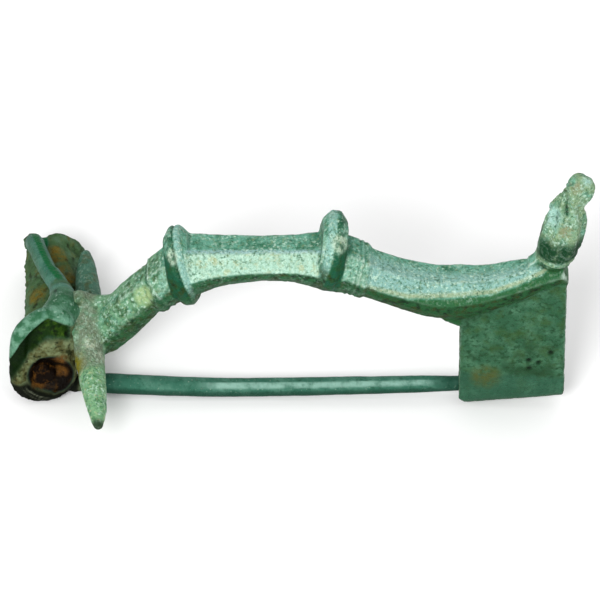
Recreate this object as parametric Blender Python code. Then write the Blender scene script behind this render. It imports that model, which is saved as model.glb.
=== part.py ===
"""Roman sprung bow brooch: a cast bow with a chord hook, support bar and catch, a wire spring with
its pin, and the iron bar inside the spring. It stands on the spring and on the catch, +X to the foot."""

import math

import bmesh
import bpy
import numpy as np
from mathutils import Matrix, Vector

MM = 0.001
UP = Vector((0, 0, 1))

# What one piece keeps clear of the next.
CLEARANCE = 0.3 * MM

# The bow, from the support bar's axis to the end of the foot.
BOW_LENGTH = 46.6 * MM
ARCH_HEIGHT = 17.95 * MM
BOW_HALF_WIDTH = 2.65 * MM
BOW_HALF_DEPTH = 1.7 * MM
BOW_RINGS = 46

# The course of the bow's centre line: share of its length, share of the arch's height.
BOW_COURSE = (
    (0.000, 0.310),
    (0.045, 0.440),
    (0.103, 0.640),
    (0.143, 0.770),
    (0.172, 0.855),
    (0.214, 0.922),
    (0.285, 0.962),
    (0.370, 0.990),
    (0.458, 1.000),
    (0.533, 0.978),
    (0.598, 0.908),
    (0.667, 0.850),
    (0.738, 0.815),
    (0.803, 0.834),
    (0.867, 0.895),
    (0.931, 0.965),
    (1.000, 1.030),
)

# How far the bow's section leans from upright along it: share of its length, degrees.
BOW_LEAN = (
    (0.00, 48.0),
    (0.08, 46.0),
    (0.13, 26.0),
    (0.18, 18.0),
    (0.26, 8.0),
    (0.38, 3.0),
    (0.50, -4.0),
    (0.58, -10.0),
    (0.66, -15.0),
    (0.74, -6.0),
    (0.80, 8.0),
    (0.87, 18.0),
    (1.00, 20.0),
)

# How wide and how deep the bow is along it: share of its length, times the half width, times the half depth.
BOW_SWELL = (
    (0.000, 0.86, 1.10),
    (0.045, 0.92, 1.20),
    (0.112, 0.95, 1.20),
    (0.122, 0.93, 1.16),
    (0.132, 1.09, 1.36),
    (0.158, 1.13, 1.42),
    (0.205, 1.24, 1.50),
    (0.249, 1.11, 1.26),
    (0.285, 1.05, 1.12),
    (0.350, 1.00, 1.00),
    (0.420, 1.02, 1.08),
    (0.455, 1.11, 1.26),
    (0.485, 1.18, 1.40),
    (0.520, 1.18, 1.42),
    (0.572, 1.13, 1.30),
    (0.580, 1.02, 1.14),
    (0.630, 1.02, 1.12),
    (0.702, 1.04, 1.24),
    (0.780, 1.02, 1.42),
    (0.850, 0.90, 1.09),
    (0.903, 0.83, 0.97),
    (0.955, 0.68, 0.78),
    (1.000, 0.60, 0.70),
)

# The bow's section, as shares of its half width and half depth: a flat top, two bevels and an undercut.
BOW_SECTION = ((0.50, 1.00), (0.90, 0.40), (1.00, 0.10), (0.93, -0.38), (0.62, -1.00))

# The two collars: their size, the rim, the flared faces beside it, and each one's place, rise and lean.
COLLAR_HALF_WIDTH = 3.7 * MM
COLLAR_HALF_HEIGHT = 4.3 * MM
COLLAR_RIM = 0.9 * MM
COLLAR_FLANK = 0.8 * MM
COLLAR_FACE_SHARE = 0.76
COLLAR_SIDES = 28
HEAD_COLLAR_AT = 0.184
HEAD_COLLAR_RISE = 0.3 * MM
HEAD_COLLAR_LEAN = math.radians(18.0)
FOOT_COLLAR_AT = 0.497
FOOT_COLLAR_RISE = 1.3 * MM
FOOT_COLLAR_LEAN = math.radians(-4.0)

# The support bar, across the head.
BAR_NEAR_LENGTH = 13.6 * MM
BAR_FAR_LENGTH = 12.9 * MM
BAR_RADIUS = 1.42 * MM
BAR_HEIGHT = 5.7 * MM
BAR_SKEW = math.radians(3.0)
BAR_SIDES = 12
BAR_TAPER = ((0.0, 1.0), (0.45, 1.0), (0.62, 0.90), (0.80, 0.72), (0.92, 0.52), (0.98, 0.34), (1.0, 0.16))

# The spring's wire, and the pin that it ends in.
WIRE_RADIUS = 0.95 * MM
PIN_SWELL = 1.17
WIRE_SIDES = 8
TURN_STEPS = 18
PIN_STEPS = 3
CHORD_STEPS = 4
COIL_PITCH = 2.0 * MM
NEAR_COIL_RADIUS = 2.5 * MM
FAR_COIL_RADIUS = 1.85 * MM
NEAR_COIL_TURNS = 1.25
NEAR_COIL_START = -1.9 * MM
NEAR_COIL_END = NEAR_COIL_START - COIL_PITCH
FAR_COIL_TURNS = 7.0
FAR_COIL_END = 16.1 * MM
FAR_COIL_START = FAR_COIL_END - FAR_COIL_TURNS * COIL_PITCH
FAR_COIL_FIRST_ANGLE = math.radians(90)
NEAR_COIL_FORWARD = 4.5 * MM
FAR_COIL_FORWARD = 3.17 * MM
FAR_COIL_TURN = math.radians(3.2)

# The pin's thickness along the bow: share of the bow's length, times the wire's radius.
PIN_AT_CATCH = 0.98
PIN_TAPER = ((0.00, PIN_SWELL), (0.50, 1.05), (0.77, PIN_AT_CATCH), (0.98, 0.32))

# The pin's course from the catch to the spring: share of the bow's length, aside from the catch, rise in mm.
PIN_COURSE = ((0.45, -1.35, 0.10), (0.25, -2.15, 0.05), (0.05, -2.50, 0.15))

# How far the pin's point reaches into the catch, and how much of the catch's slope it follows, as shares.
PIN_REACH = 0.8
PIN_FOLLOWS = 0.62

# The chord's course, in mm: up from the near turns, past the hook, and down to the far turns.
CHORD_FROM_NEAR = (-0.1, 0.8, 4.5)
CHORD_AT_HOOK = (
    (-2.5, -3.2, 0.7),
    (-0.8, -2.3, 0.3),
    (-0.05, -1.0, 0.0),
    (-0.05, 1.0, 0.0),
    (-1.7, 5.5, -1.0),
)
CHORD_TO_FAR = ((-0.8, -3.75, 3.85), (-0.9, -1.95, 2.25))

# The iron bar inside the spring, swollen by rust at its near end.
AXIS_BAR_SIDES = 10
AXIS_BAR_TIP_LENGTH = 0.4 * MM
AXIS_BAR_TIP_SHARE = 0.8

# The chord hook, a tongue of the head that laps over the chord.
HOOK_THICKNESS = 0.85 * MM
HOOK_HALF_WIDTH = 0.95 * MM
HOOK_ASIDE = 1.0 * MM
HOOK_SLACK = 0.4 * MM
HOOK_ARC_START = math.radians(20)
HOOK_TIP = math.radians(150)
HOOK_INNER_END = math.radians(-10)
HOOK_STEPS = 9
HOOK_ROOT_AT = 0.03
HOOK_ROOT_LENGTH = 5.2 * MM
HOOK_ROOT_RISE = 0.6
CHORD_HEIGHT = 9.2 * MM
CHORD_FORWARD = 2.75 * MM

# The catch, a plate under the foot whose lower edge is rolled into a gutter for the pin.
CATCH_LENGTH = 10.5 * MM
CATCH_OVERHANG = 1.3 * MM
CATCH_WALL = 0.6 * MM
CATCH_SLOPE = math.radians(10.4)
CATCH_LEAN = math.radians(4.5)
CATCH_ASIDE = 0.6 * MM
CATCH_LIP = 0.9 * MM
CATCH_FLAT = 0.12 * MM
CATCH_CORNER = 1.1 * MM
CORNER_TURN = math.radians(45)
CATCH_STEPS = 12
ROLL_STEPS = 10

# The knob that stands on the foot, bending outwards: height along its axis, radius.
KNOB_AT = 0.966
KNOB_HEIGHT = 14.5 * MM
KNOB_RADIUS = 2.05 * MM
KNOB_LEAN_FOOT = math.radians(3.0)
KNOB_LEAN_TOP = math.radians(16.5)
KNOB_SIDES = 20
KNOB_SUNK = 1.2 * MM
KNOB_PROFILE = (
    (0.000, 0.72),
    (0.110, 0.66),
    (0.160, 0.58),
    (0.195, 0.72),
    (0.240, 0.90),
    (0.310, 0.99),
    (0.410, 1.02),
    (0.520, 0.98),
    (0.610, 0.88),
    (0.670, 0.72),
    (0.710, 0.55),
    (0.750, 0.47),
    (0.790, 0.54),
    (0.840, 0.63),
    (0.905, 0.65),
    (0.960, 0.54),
    (1.000, 0.28),
)

# The web behind the knob, which rises from the foot's top to the knob's bulb.
WEB_LENGTH = 2.3 * MM
WEB_HEIGHT = 2.1 * MM
WEB_THICKNESS = 1.5 * MM

# The gusset in front of the catch, under the foot.
GUSSET_LENGTH = 2.6 * MM
GUSSET_DROP = 1.15 * MM
GUSSET_THICKNESS = 1.1 * MM

# How far a web or a gusset goes into the shapes that it joins.
FILLET_SUNK = 0.8 * MM

# The blocks that trim the catch flat for the table reach well past it.
CUTTER_SIDE = 3 * CATCH_LENGTH
CUTTER_DEPTH = 4 * MM
SMOOTH_UNDER = math.radians(30)


def clear_scene():
    for thing in list(bpy.data.objects):
        bpy.data.objects.remove(thing, do_unlink=True)


def metal(name, colour, roughness, metallic):
    made = bpy.data.materials.new(name)
    made.use_nodes = True
    shader = made.node_tree.nodes["Principled BSDF"]
    shader.inputs["Base Color"].default_value = (*colour, 1.0)
    shader.inputs["Roughness"].default_value = roughness
    shader.inputs["Metallic"].default_value = metallic
    return made


def new_object(name, shape, material=None):
    """The bmesh as an object, its faces turned outwards."""
    bmesh.ops.recalc_face_normals(shape, faces=shape.faces)
    mesh = bpy.data.meshes.new(name)
    shape.to_mesh(mesh)
    shape.free()
    made = bpy.data.objects.new(name, mesh)
    bpy.context.scene.collection.objects.link(made)
    if material:
        mesh.materials.append(material)
    return made


def lofted(name, rings):
    """A closed body through rings of points, all with as many points, with its two ends filled."""
    shape = bmesh.new()
    rows = [[shape.verts.new(point) for point in ring] for ring in rings]
    for first, second in zip(rows, rows[1:]):
        for i in range(len(first)):
            j = (i + 1) % len(first)
            shape.faces.new((first[i], first[j], second[j], second[i]))
    shape.faces.new(rows[0])
    shape.faces.new(rows[-1])
    return new_object(name, shape)


def combine(target, other, operation):
    """Joins the other body to the target, or cuts it away, and removes the other."""
    step = target.modifiers.new(other.name, "BOOLEAN")
    step.operation = operation
    step.solver = "MANIFOLD"
    step.object = other
    graph = bpy.context.evaluated_depsgraph_get()
    joined = bpy.data.meshes.new_from_object(target.evaluated_get(graph))
    target.modifiers.remove(step)
    target.data = joined
    bpy.data.objects.remove(other, do_unlink=True)


def along(table, share):
    """The row of a table at a share of its length, straight between its rows."""
    shares = [row[0] for row in table]
    return [float(np.interp(share, shares, column)) for column in zip(*table)][1:]


def smooth_along(points, steps):
    """Points on a smooth curve through the given ones, a few between each pair."""
    ends = [2 * points[0] - points[1], *points, 2 * points[-1] - points[-2]]
    course = []
    for before, start, end, after in zip(ends, ends[1:], ends[2:], ends[3:]):
        for step in range(steps):
            t = step / steps
            bend = 2 * before - 5 * start + 4 * end - after
            twist = 3 * (start - end) + after - before
            course.append(start + 0.5 * t * ((end - before) + t * (bend + t * twist)))
    course.append(points[-1])
    return course


def bow_point(share):
    """A point of the bow's centre line, from the support bar's axis at 0 to the end of the foot at 1."""
    rows = [Vector((row[0] * BOW_LENGTH, 0, row[1] * ARCH_HEIGHT)) for row in BOW_COURSE]
    shares = [row[0] for row in BOW_COURSE]
    last = len(rows) - 2
    i = min(max(int(np.searchsorted(shares, share, side="right")) - 1, 0), last)
    before = rows[max(i - 1, 0)]
    after = rows[min(i + 2, last + 1)]
    span = shares[i + 1] - shares[i]
    t = (share - shares[i]) / span
    leave = (rows[i + 1] - before) * 0.5
    arrive = (after - rows[i]) * 0.5
    h = (2 * t**3 - 3 * t**2 + 1, t**3 - 2 * t**2 + t, 3 * t**2 - 2 * t**3, t**3 - t**2)
    z = h[0] * rows[i].z + h[1] * leave.z + h[2] * rows[i + 1].z + h[3] * arrive.z
    return Vector((share * BOW_LENGTH, 0, z))


def bow_frame(share):
    """Centre, forward direction and upward direction of the bow's section at a share of its length."""
    lean = math.radians(along(BOW_LEAN, share)[0])
    forward = Vector((math.cos(lean), 0, math.sin(lean)))
    return bow_point(share), forward, Vector((-forward.z, 0, forward.x))


def make_bow_body():
    shares = sorted({round(i / BOW_RINGS, 4) for i in range(BOW_RINGS + 1)} | {row[0] for row in BOW_SWELL})
    outline = [(-y, z) for y, z in BOW_SECTION] + [(y, z) for y, z in reversed(BOW_SECTION)]
    rings = []
    for share in shares:
        centre, _, up = bow_frame(share)
        width, depth = along(BOW_SWELL, share)
        across = Vector((0, width * BOW_HALF_WIDTH, 0))
        over = up * depth * BOW_HALF_DEPTH
        rings.append([centre + across * y + over * z for y, z in outline])
    return lofted("bow", rings)


def make_collar(name, share, rise, lean):
    """A collar round the bow: an oval disc with a flat rim and two flared faces."""
    centre = bow_point(share) + UP * rise
    turn = Matrix.Rotation(-lean, 3, "Y")
    half_rim = COLLAR_RIM / 2
    outer = half_rim + COLLAR_FLANK
    steps = ((-outer, COLLAR_FACE_SHARE), (-half_rim, 1.0), (half_rim, 1.0), (outer, COLLAR_FACE_SHARE))
    rings = []
    for offset, size in steps:
        ring = []
        for i in range(COLLAR_SIDES):
            angle = 2 * math.pi * i / COLLAR_SIDES
            y = size * COLLAR_HALF_WIDTH * math.cos(angle)
            z = size * COLLAR_HALF_HEIGHT * math.sin(angle)
            ring.append(centre + turn @ Vector((offset, y, z)))
        rings.append(ring)
    return lofted(name, rings)


def bar_axis(share):
    """A point of the support bar's axis, from -1 at its near end to 1 at its far end."""
    y = share * (BAR_NEAR_LENGTH if share < 0 else BAR_FAR_LENGTH)
    return Vector((-y * math.tan(BAR_SKEW), y, BAR_HEIGHT))


def make_support_bar():
    rings = []
    shares = [-row[0] for row in reversed(BAR_TAPER)] + [row[0] for row in BAR_TAPER[1:]]
    for share in shares:
        centre = bar_axis(share)
        radius = BAR_RADIUS * along(BAR_TAPER, abs(share))[0]
        ring = []
        for i in range(BAR_SIDES):
            angle = 2 * math.pi * i / BAR_SIDES
            ring.append(centre + Vector((radius * math.cos(angle), 0, radius * math.sin(angle))))
        rings.append(ring)
    return lofted("support_bar", rings)


def chord_at_hook():
    return Vector((-CHORD_FORWARD, HOOK_ASIDE, CHORD_HEIGHT))


def make_hook():
    """A tongue from the top of the head, bent over the chord."""
    chord = chord_at_hook()
    inner = WIRE_RADIUS + HOOK_SLACK
    outer = inner + HOOK_THICKNESS
    over = np.linspace(HOOK_ARC_START, HOOK_TIP, HOOK_STEPS + 1)
    under = np.linspace(HOOK_TIP, HOOK_INNER_END, HOOK_STEPS + 1)
    outline = [(chord.x + outer * math.cos(a), chord.z + outer * math.sin(a)) for a in over]
    outline += [(chord.x + inner * math.cos(a), chord.z + inner * math.sin(a)) for a in under]
    _, forward, up = bow_frame(HOOK_ROOT_AT)
    front = bow_point(0.0) + up * BOW_HALF_DEPTH * HOOK_ROOT_RISE
    back = front + forward * HOOK_ROOT_LENGTH
    outline += [(front.x, front.z), (back.x, back.z)]
    rings = []
    for side in (-1, 1):
        y = HOOK_ASIDE + side * HOOK_HALF_WIDTH
        rings.append([Vector((x, y, z)) for x, z in outline])
    return lofted("hook", rings)


def catch_start():
    """Where along the bow the catch begins: it ends a little short of the foot's end."""
    return BOW_LENGTH + CATCH_OVERHANG - CATCH_LENGTH


def pin_radius_at_catch():
    return WIRE_RADIUS * PIN_AT_CATCH


def roll_radius():
    """Outer radius of the rolled edge: it holds the pin with room to spare."""
    return pin_radius_at_catch() + CLEARANCE + CATCH_WALL


def roll_height(x):
    """Height of the roll's axis over a place along the bow."""
    return roll_radius() - CATCH_FLAT + (x - catch_start() - CATCH_CORNER) * math.tan(CATCH_SLOPE)


def make_catch():
    """The plate, its rolled lower edge and its short lip, swept along the sloping lower edge."""
    outer = roll_radius()
    inner = outer - CATCH_WALL
    rings = []
    for i in range(CATCH_STEPS + 1):
        x = catch_start() + CATCH_LENGTH * i / CATCH_STEPS
        low = roll_height(x)
        top = bow_point(min(x / BOW_LENGTH, 1.0)).z
        lean = (top - low) * math.tan(CATCH_LEAN)
        angles = [math.pi + math.pi * k / ROLL_STEPS for k in range(ROLL_STEPS + 1)]
        ring = [Vector((x - lean, CATCH_ASIDE - outer, top))]
        ring += [Vector((x, CATCH_ASIDE + outer * math.cos(a), low + outer * math.sin(a))) for a in angles]
        ring.append(Vector((x, CATCH_ASIDE + outer, low + CATCH_LIP)))
        ring.append(Vector((x, CATCH_ASIDE + inner, low + CATCH_LIP)))
        angles.reverse()
        ring += [Vector((x, CATCH_ASIDE + inner * math.cos(a), low + inner * math.sin(a))) for a in angles]
        ring.append(Vector((x - lean, CATCH_ASIDE - inner, top)))
        rings.append(ring)
    return lofted("catch", rings)


def block(name, centre, size, turn=0.0):
    """A cutting block, turned about Y."""
    shape = bmesh.new()
    bmesh.ops.create_cube(shape, size=1.0)
    place = Matrix.Translation(centre) @ Matrix.Rotation(turn, 4, "Y") @ Matrix.Diagonal((*size, 1.0))
    bmesh.ops.transform(shape, matrix=place, verts=shape.verts)
    return new_object(name, shape)


def make_knob():
    """The turned knob on the end of the foot."""
    place = bow_point(KNOB_AT) - UP * KNOB_SUNK
    rings = []
    last = 0.0
    for share, radius in KNOB_PROFILE:
        lean = KNOB_LEAN_FOOT + (KNOB_LEAN_TOP - KNOB_LEAN_FOOT) * share
        turn = Matrix.Rotation(lean, 3, "Y")
        place = place + turn @ UP * (share - last) * KNOB_HEIGHT
        last = share
        ring = []
        for i in range(KNOB_SIDES):
            angle = 2 * math.pi * i / KNOB_SIDES
            spoke = Vector((math.cos(angle), math.sin(angle), 0)) * radius * KNOB_RADIUS
            ring.append(place + turn @ spoke)
        rings.append(ring)
    return lofted("knob", rings)


def wedge(name, outline, near, thickness):
    """A flat body of an outline in x and z, from its near face backwards."""
    rings = [[Vector((x, y, z)) for x, z in outline] for y in (near, near + thickness)]
    return lofted(name, rings)


def bow_edge(share, side):
    """Height of the bow's top, or of its underside for a side of -1."""
    return bow_point(share).z + side * along(BOW_SWELL, share)[1] * BOW_HALF_DEPTH


def make_web():
    """A web between the foot's top and the back of the knob, its edge bent inwards."""
    x = KNOB_AT * BOW_LENGTH
    top = bow_edge(KNOB_AT, 1)
    outline = [
        (x - WEB_LENGTH, top - FILLET_SUNK),
        (x - WEB_LENGTH, top),
        (x - WEB_LENGTH * 0.72, top + WEB_HEIGHT * 0.3),
        (x - WEB_LENGTH * 0.6, top + WEB_HEIGHT),
        (x, top + WEB_HEIGHT),
        (x, top - FILLET_SUNK),
    ]
    return wedge("web", outline, -WEB_THICKNESS / 2, WEB_THICKNESS)


def make_gusset():
    """A gusset where the front of the catchplate runs out into the foot's underside."""
    x = catch_start() - bow_edge(catch_start() / BOW_LENGTH, -1) * math.tan(CATCH_LEAN)
    low = bow_edge(x / BOW_LENGTH, -1)
    outline = [
        (x - GUSSET_LENGTH, low + FILLET_SUNK / 2),
        (x - GUSSET_LENGTH / 2, low - GUSSET_DROP * 0.55),
        (x, low - GUSSET_DROP),
        (x + FILLET_SUNK, low - GUSSET_DROP),
        (x + FILLET_SUNK, low + FILLET_SUNK),
    ]
    near = CATCH_ASIDE - roll_radius() - CATCH_WALL / 4
    return wedge("gusset", outline, near, GUSSET_THICKNESS)


def make_bow(material):
    """The whole casting: bow, collars, support bar, hook, catch and knob as one body."""
    bow = make_bow_body()
    combine(bow, make_collar("head_collar", HEAD_COLLAR_AT, HEAD_COLLAR_RISE, HEAD_COLLAR_LEAN), "UNION")
    combine(bow, make_collar("foot_collar", FOOT_COLLAR_AT, FOOT_COLLAR_RISE, FOOT_COLLAR_LEAN), "UNION")
    combine(bow, make_support_bar(), "UNION")
    combine(bow, make_hook(), "UNION")
    combine(bow, make_catch(), "UNION")
    combine(bow, make_knob(), "UNION")
    combine(bow, make_web(), "UNION")
    combine(bow, make_gusset(), "UNION")
    under = Vector((catch_start() + CATCH_LENGTH / 2, 0, -CUTTER_DEPTH / 2))
    combine(bow, block("table_cut", under, (CUTTER_SIDE, CUTTER_SIDE, CUTTER_DEPTH)), "DIFFERENCE")
    corner = Vector((catch_start(), 0, 0))
    reach = CATCH_CORNER * math.sqrt(2)
    combine(bow, block("corner_cut", corner, (reach, CUTTER_SIDE, reach), CORNER_TURN), "DIFFERENCE")
    bow.data.materials.clear()
    bow.data.materials.append(material)
    return bow


def coil_centre(y):
    """The spring's axis at a place across the head: low behind the near end, turned a little in plan."""
    near_height = NEAR_COIL_RADIUS + WIRE_RADIUS
    far_height = FAR_COIL_RADIUS + WIRE_RADIUS
    if y <= NEAR_COIL_START:
        return Vector((-NEAR_COIL_FORWARD, y, near_height))
    return Vector((-FAR_COIL_FORWARD - (FAR_COIL_END - y) * math.tan(FAR_COIL_TURN), y, far_height))


def coil_turns(start_y, end_y, turns, start_angle, radius):
    """Points of a coil; its angle is read from straight down and grows towards the head's front."""
    steps = round(abs(turns) * TURN_STEPS)
    points = []
    for i in range(steps + 1):
        share = i / steps
        angle = start_angle + share * turns * 2 * math.pi
        centre = coil_centre(start_y + (end_y - start_y) * share)
        points.append(centre + Vector((-math.sin(angle), 0, -math.cos(angle))) * radius)
    return points


def pin_course():
    """The pin from its point in the catch to the bottom of the spring."""
    floor = Vector((catch_start(), CATCH_ASIDE, roll_radius() - CATCH_FLAT))
    reach = PIN_REACH * CATCH_LENGTH
    point = floor + Vector((reach, 0, reach * math.tan(CATCH_SLOPE) * PIN_FOLLOWS))
    knots = [point, (point + floor) / 2, floor]
    for share, aside, rise in PIN_COURSE:
        height = WIRE_RADIUS * PIN_SWELL + rise * MM
        knots.append(Vector((BOW_LENGTH * share, CATCH_ASIDE + aside * MM, height)))
    return knots


def chord_course(near_end, far_end):
    """The chord from the last near turn, under the hook and on to the first far turn."""
    hook = chord_at_hook()
    past_hook = [hook + Vector(offset) * MM for offset in CHORD_AT_HOOK]
    down = [far_end + Vector(offset) * MM for offset in CHORD_TO_FAR]
    return [near_end, near_end + Vector(CHORD_FROM_NEAR) * MM, *past_hook, *down, far_end]


def make_wire(material):
    """Pin, near turns, chord and far turns: one wire."""
    near = coil_turns(NEAR_COIL_START, NEAR_COIL_END, NEAR_COIL_TURNS, 0.0, NEAR_COIL_RADIUS)
    far = coil_turns(FAR_COIL_END, FAR_COIL_START, -FAR_COIL_TURNS, FAR_COIL_FIRST_ANGLE, FAR_COIL_RADIUS)
    pin = smooth_along([*pin_course(), near[0]], PIN_STEPS)
    chord = smooth_along(chord_course(near[-1], far[0]), CHORD_STEPS)
    course = pin + near[1:-1] + chord + far[1:]
    radii = [WIRE_RADIUS] * len(course)
    for i, point in enumerate(pin):
        if point.x > 0:
            radii[i] *= along(PIN_TAPER, point.x / BOW_LENGTH)[0]
    wire = swept("spring_and_pin", course, radii)
    wire.data.materials.append(material)
    return wire


def swept(name, course, radii):
    """A round wire along a course, its rings carried on from one to the next without twist."""
    spoke = UP.cross(course[1] - course[0]).normalized()
    rings = []
    for i, (point, radius) in enumerate(zip(course, radii)):
        ahead = course[min(i + 1, len(course) - 1)]
        behind = course[max(i - 1, 0)]
        forward = (ahead - behind).normalized()
        spoke = (spoke - forward * spoke.dot(forward)).normalized()
        other = forward.cross(spoke)
        ring = []
        for k in range(WIRE_SIDES):
            angle = 2 * math.pi * (k + 0.5) / WIRE_SIDES
            ring.append(point + (spoke * math.cos(angle) + other * math.sin(angle)) * radius)
        rings.append(ring)
    return lofted(name, rings)


def make_axis_bar(material):
    """The iron bar that the spring is wound on, thick with rust where the spring is broken."""
    far_radius = FAR_COIL_RADIUS - WIRE_RADIUS - CLEARANCE
    near_radius = NEAR_COIL_RADIUS - WIRE_RADIUS - CLEARANCE
    places = (
        (NEAR_COIL_END, near_radius * AXIS_BAR_TIP_SHARE),
        (NEAR_COIL_END + AXIS_BAR_TIP_LENGTH, near_radius),
        (NEAR_COIL_START, near_radius),
        (FAR_COIL_START - WIRE_RADIUS - CLEARANCE, far_radius),
        (FAR_COIL_END, far_radius),
    )
    rings = []
    for y, radius in places:
        centre = coil_centre(y)
        ring = []
        for i in range(AXIS_BAR_SIDES):
            angle = 2 * math.pi * i / AXIS_BAR_SIDES
            ring.append(centre + Vector((radius * math.cos(angle), 0, radius * math.sin(angle))))
        rings.append(ring)
    bar = lofted("axis_bar", rings)
    bar.data.materials.append(material)
    return bar


def centre_on_floor(pieces):
    """Moves the brooch so that the middle of its bounding box's underside is at the origin."""
    corners = [vertex.co for piece in pieces for vertex in piece.data.vertices]
    low = [min(corner[k] for corner in corners) for k in range(3)]
    high = [max(corner[k] for corner in corners) for k in range(3)]
    shift = Vector((-(low[0] + high[0]) / 2, -(low[1] + high[1]) / 2, -low[2]))
    for piece in pieces:
        piece.data.transform(Matrix.Translation(shift))


def main():
    clear_scene()
    bronze = metal("green_bronze", (0.30, 0.45, 0.36), 0.6, 0.2)
    wire_bronze = metal("dark_green_bronze", (0.10, 0.28, 0.22), 0.5, 0.2)
    rusty_iron = metal("rusty_iron", (0.20, 0.09, 0.04), 0.9, 0.0)
    pieces = [make_bow(bronze), make_wire(wire_bronze), make_axis_bar(rusty_iron)]
    centre_on_floor(pieces)
    for piece in pieces:
        piece.data.shade_smooth()
        piece.data.set_sharp_from_angle(angle=SMOOTH_UNDER)


main()
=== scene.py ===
# %% [markdown]
# # A Roman bow brooch
#
# The brooch is a bronze casting about 57 mm long, two thousand years in the ground. Three solids already
# give its form and size: the casting, the wire of the spring and pin, and the iron bar inside the spring.
# This lesson gives each of them its surface: soft worn edges, pitted corrosion, rust and soil, and the
# colours of verdigris.

# %% Load the solids
import math

import bmesh
import bpy
import numpy as np
from mathutils import Matrix, Quaternion, Vector


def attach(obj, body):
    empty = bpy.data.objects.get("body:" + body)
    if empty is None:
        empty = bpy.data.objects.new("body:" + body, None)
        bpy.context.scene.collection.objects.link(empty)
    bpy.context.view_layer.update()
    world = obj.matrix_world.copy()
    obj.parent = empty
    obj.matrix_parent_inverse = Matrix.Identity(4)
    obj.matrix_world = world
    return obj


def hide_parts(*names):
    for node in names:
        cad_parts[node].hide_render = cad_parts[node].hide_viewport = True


MM = 0.001
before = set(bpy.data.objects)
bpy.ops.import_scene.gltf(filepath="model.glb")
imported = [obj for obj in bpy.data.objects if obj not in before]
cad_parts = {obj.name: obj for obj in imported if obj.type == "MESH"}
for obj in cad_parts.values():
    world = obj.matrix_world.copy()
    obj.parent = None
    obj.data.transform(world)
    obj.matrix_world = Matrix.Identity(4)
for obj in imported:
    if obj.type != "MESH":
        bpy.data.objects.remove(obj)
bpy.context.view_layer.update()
print("Solids:", sorted(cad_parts))

# %% [markdown]
# ## The camera
#
# The photograph looks down on the brooch at 42 degrees, from a little to its left, through a long lens, so
# that lines which are parallel on the brooch stay parallel. The picture is turned six degrees. A camera is
# easiest to place by the point that it looks at, a direction and a distance.

# %% Place the camera
VIEW_AROUND = math.radians(-4.0)
VIEW_ABOVE = math.radians(42.0)
PICTURE_TURN = math.radians(6.0)
PICTURE_WIDTH = 60.0 * MM
CAMERA_DISTANCE = 900.0 * MM
SENSOR_WIDTH_MM = 36.0
LOOK_AT = Vector((0.52, 0.0, 10.74)) * MM


def direction_to(around, above):
    """The direction to a camera or a lamp, from its angle round the brooch and its angle above the floor."""
    flat = math.cos(above)
    return Vector((math.sin(around) * flat, -math.cos(around) * flat, math.sin(above)))


def place_camera():
    lens = bpy.data.cameras.new("camera")
    lens.sensor_width = SENSOR_WIDTH_MM
    lens.lens = SENSOR_WIDTH_MM * CAMERA_DISTANCE / PICTURE_WIDTH
    lens.clip_start = CAMERA_DISTANCE / 10
    lens.clip_end = CAMERA_DISTANCE * 10
    camera = bpy.data.objects.new("camera", lens)
    bpy.context.scene.collection.objects.link(camera)
    back = direction_to(VIEW_AROUND, VIEW_ABOVE)
    camera.location = LOOK_AT + back * CAMERA_DISTANCE
    camera.rotation_mode = "QUATERNION"
    camera.rotation_quaternion = back.to_track_quat("Z", "Y") @ Quaternion((0, 0, 1), PICTURE_TURN)
    bpy.context.scene.camera = camera
    return camera


camera = place_camera()
print("Camera at", [round(c / MM) for c in camera.location], "mm")

# %% [markdown]
# ## Floor and light
#
# A pale floor and soft light from the camera's side keep the greens clean. The main lamp stands a little
# lower than the camera and to its left: the bevels that face it are the brightest parts, and the undersides
# fall away. The materials also paint light on those bevels and paint shade on the undersides.

# %% Set the floor and the lights
FLOOR_SIZE = 3000.0 * MM
FLOOR_COLOUR = (0.93, 0.93, 0.93, 1.0)
FLOOR_ROUGHNESS = 0.9
SKY_STRENGTH = 0.85
LAMP_DISTANCE = 500.0 * MM
LAMP_SIZE = 150.0 * MM
LAMP_WATTS = 2.05
LAMP_AROUND = math.radians(-18.0)
LAMP_ABOVE = math.radians(36.0)


def make_floor():
    mesh = bpy.data.meshes.new("floor")
    half = FLOOR_SIZE / 2
    corners = [(-half, -half, 0), (half, -half, 0), (half, half, 0), (-half, half, 0)]
    mesh.from_pydata(corners, [], [(0, 1, 2, 3)])
    floor = bpy.data.objects.new("floor", mesh)
    bpy.context.scene.collection.objects.link(floor)
    paint = bpy.data.materials.new("pale_floor")
    paint.use_nodes = True
    shader = paint.node_tree.nodes["Principled BSDF"]
    shader.inputs["Base Color"].default_value = FLOOR_COLOUR
    shader.inputs["Roughness"].default_value = FLOOR_ROUGHNESS
    mesh.materials.append(paint)


def add_lamp():
    """A square soft lamp that faces the brooch."""
    lamp = bpy.data.lights.new("front_lamp", "AREA")
    lamp.size = LAMP_SIZE
    lamp.energy = LAMP_WATTS
    holder = bpy.data.objects.new("front_lamp", lamp)
    bpy.context.scene.collection.objects.link(holder)
    back = direction_to(LAMP_AROUND, LAMP_ABOVE)
    holder.location = LOOK_AT + back * LAMP_DISTANCE
    holder.rotation_mode = "QUATERNION"
    holder.rotation_quaternion = back.to_track_quat("Z", "Y")


def make_sky():
    world = bpy.data.worlds.new("studio")
    world.use_nodes = True
    world.node_tree.nodes["Background"].inputs["Color"].default_value = (1, 1, 1, 1)
    world.node_tree.nodes["Background"].inputs["Strength"].default_value = SKY_STRENGTH
    bpy.context.scene.world = world


make_floor()
make_sky()
add_lamp()
bpy.context.scene.view_settings.view_transform = "Standard"
print("Lamps:", [lamp.name for lamp in bpy.data.lights])

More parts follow.
